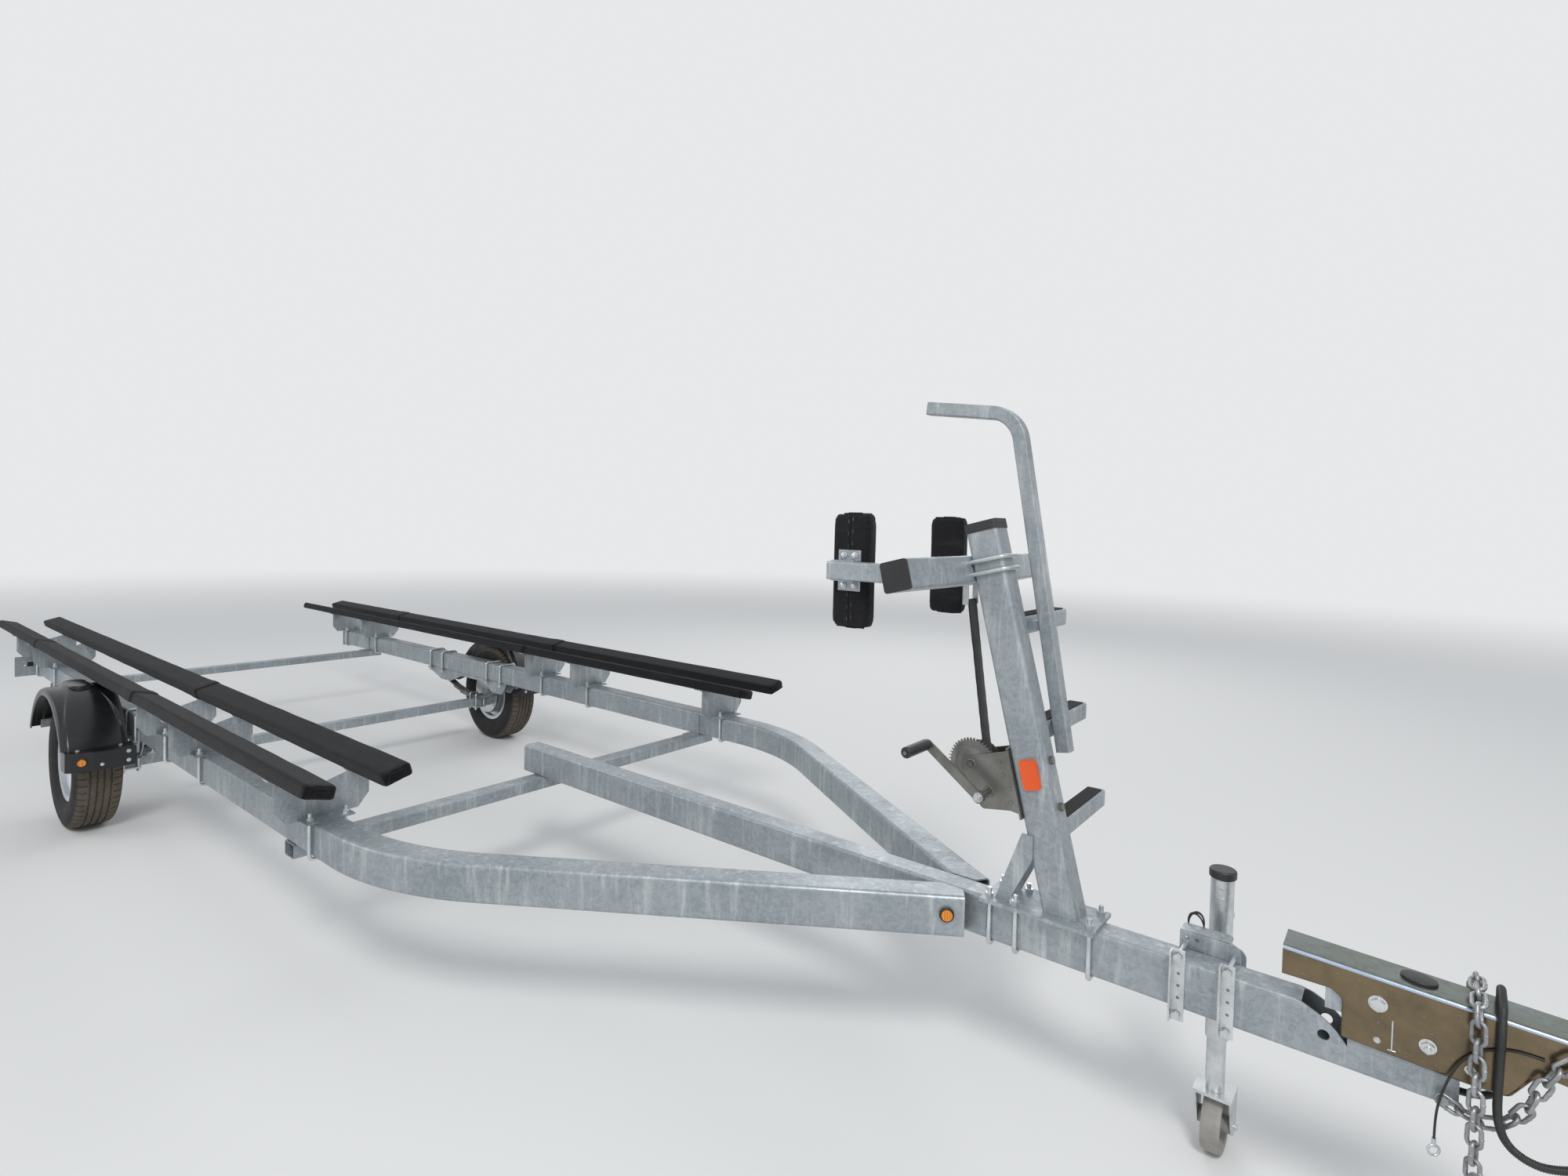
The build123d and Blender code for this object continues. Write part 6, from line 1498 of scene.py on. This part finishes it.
def tailLamp(settings):
    (x0, x1), (y0, y1), (z0, z1) = settings["x"], settings["y"], settings["z"]
    rim, gap = settings["rim"], settings["gap"]
    seam = y1 - (y1 - y0) * settings["amberShare"]
    mid = x1 - settings["housing"]
    housing = boxPiece("tailHousing", (mid, y0, z0), (x1, y1, z1), settings["housingEdge"], 4)
    lenses = []
    for name, left, right in (("tailRed", y0 + rim, seam - gap), ("tailAmber", seam + gap, y1 - rim)):
        low, high = (x0, left, z0 + rim), (mid + 0.002, right, z1 - rim)
        lenses.append(boxPiece(name, low, high, settings["lensEdge"], 4))
    red, amber = lenses
    ribs = []
    for k in range(settings["ribs"]):
        z = z0 + (z1 - z0) * (k + 1) / (settings["ribs"] + 1)
        ends = [(x0 + 0.0002, y, z) for y in (y0 + 0.012, seam - 0.008)]
        ribs.append(rodPiece("lensRib", *ends, settings["ribRadius"], 10, 0.0006))
    screws = []
    for y in ((y0 + seam) / 2, (seam + y1) / 2):
        ends = [(x, y, z0 + settings["screwUp"]) for x in (x0 - 0.0008, x0 + 0.004)]
        screws.append(rodPiece("lensScrew", *ends, settings["screwRadius"], 20, 0.0006))
    return housing, joined([red] + ribs, "tailRed"), amber, joined(screws, "tailScrews")


for part, look in zip(tailLamp(tailSettings), ("black_moulding", "lamp_red", "lamp_amber", "zinc")):
    pair = smoothed(bothSides([part], part.name + "Pair"), 40)
    dressed(pair, "frame", look, replaced=("tail_lamps",) if look == "lamp_red" else ())
print("tail lamps set")

# Winch trim: the gear's dished face, ringed by a dark disc that is painted shade for its recess, collars and
# rivets on the cheeks, the crank's nut
winchSettings = {
    "gearY": -0.043, "cheekY": 0.050,
    # discs on the gear's face: y from and to, past the face, and radius
    "recess": ((0.001, -0.0007, 0.0500),), "dish": ((-0.0002, -0.0013, 0.0415), (-0.0010, -0.0021, 0.0300)),
    "drumCollar": 0.0125, "crankCollar": 0.0145, "collarThick": 0.0022,
    "rivets": ((2.752, 0.905), (2.772, 0.872), (2.740, 0.938), (2.776, 0.838)), "rivetRadius": 0.0050,
    "rivetHigh": 0.0026, "rivetEdge": 0.0014, "nutY": -0.112, "nut": (0.019, 0.0090, 0.006),
}


def gearDiscs(name, rows, settings):
    discs = []
    for start, end, radius in rows:
        ends = [(drumX, settings["gearY"] + reach, drumZ) for reach in (start, end)]
        discs.append(rodPiece(name, *ends, radius, 56, 0.0003))
    return smoothed(joined(discs, name), 40)


def cheekTrim(settings):
    y, thick = settings["cheekY"], settings["collarThick"]
    parts = []
    for x, z, radius in ((drumX, drumZ, settings["drumCollar"]), (crankX, crankZ, settings["crankCollar"])):
        parts.append(ringPiece("collar", (x, y + 0.0002, z), (0, 1, 0), radius, thick, 36, 8))
    for x, z in settings["rivets"]:
        ends = (x, y - 0.0005, z), (x, y + settings["rivetHigh"], z)
        parts.append(rodPiece("rivet", *ends, settings["rivetRadius"], 20, settings["rivetEdge"]))
    return smoothed(bothSides(parts, "winchCollars"), 40)


# painted shade: a dark disc, standing slightly proud, stands for the shade in the gear's recess, which is not
# cut
dressed(gearDiscs("gearRecess", winchSettings["recess"], winchSettings), "winch_drum", "spring_steel")
dressed(gearDiscs("gearDish", winchSettings["dish"], winchSettings), "winch_drum", "winch_plate", "zinc")
dressed(cheekTrim(winchSettings), "frame", "winch_plate", "zinc")
crankNut = hexBolt(boltSettings, (crankX, winchSettings["nutY"], crankZ), (0, -1, 0), *winchSettings["nut"])
crankNut.name = "crankNut"
dressed(smoothed(crankNut, 30), "winch_crank", "zinc")
print("winch trim set")

# Reflectors: upright rounded plates with a thin rim, leaning with the post
reflectorSettings = {
    "wide": 0.048, "high": 0.078, "thick": 0.006, "corner": 0.011,
    "lean": -14.17, "rim": 0.0016, "rimStep": 0.0005, "sunk": 0.0009, "edge": 0.0003,
}


def reflector(settings):
    thick = settings["thick"] / 2
    corner = Vector((settings["wide"] / 2, thick, settings["high"] / 2))
    plate = boxPiece("postReflector", -corner, corner)
    cornersRounded(plate, 1, settings["corner"], 8)
    bpy.ops.object.mode_set(mode="EDIT")
    bpy.context.tool_settings.mesh_select_mode = (False, False, True)
    bpy.ops.mesh.select_all(action="DESELECT")
    bpy.ops.object.mode_set(mode="OBJECT")
    for face in plate.data.polygons:
        face.select = face.normal.y > 0.9
    bpy.ops.object.mode_set(mode="EDIT")
    bpy.ops.mesh.inset(thickness=settings["rim"])
    bpy.ops.mesh.inset(thickness=settings["rimStep"], depth=-settings["sunk"])
    bpy.ops.object.mode_set(mode="OBJECT")
    low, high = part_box("reflectors")
    x, y, z = middleOf(low, high)
    return turned(rounded(plate, settings["edge"], 2, 40), (x, high.y - thick, z), settings["lean"])


reflectors = smoothed(bothSides([reflector(reflectorSettings)], "postReflectors"), 40)
dressed(reflectors, "frame", "lamp_orange", replaced=("reflectors",))
print("reflectors set")
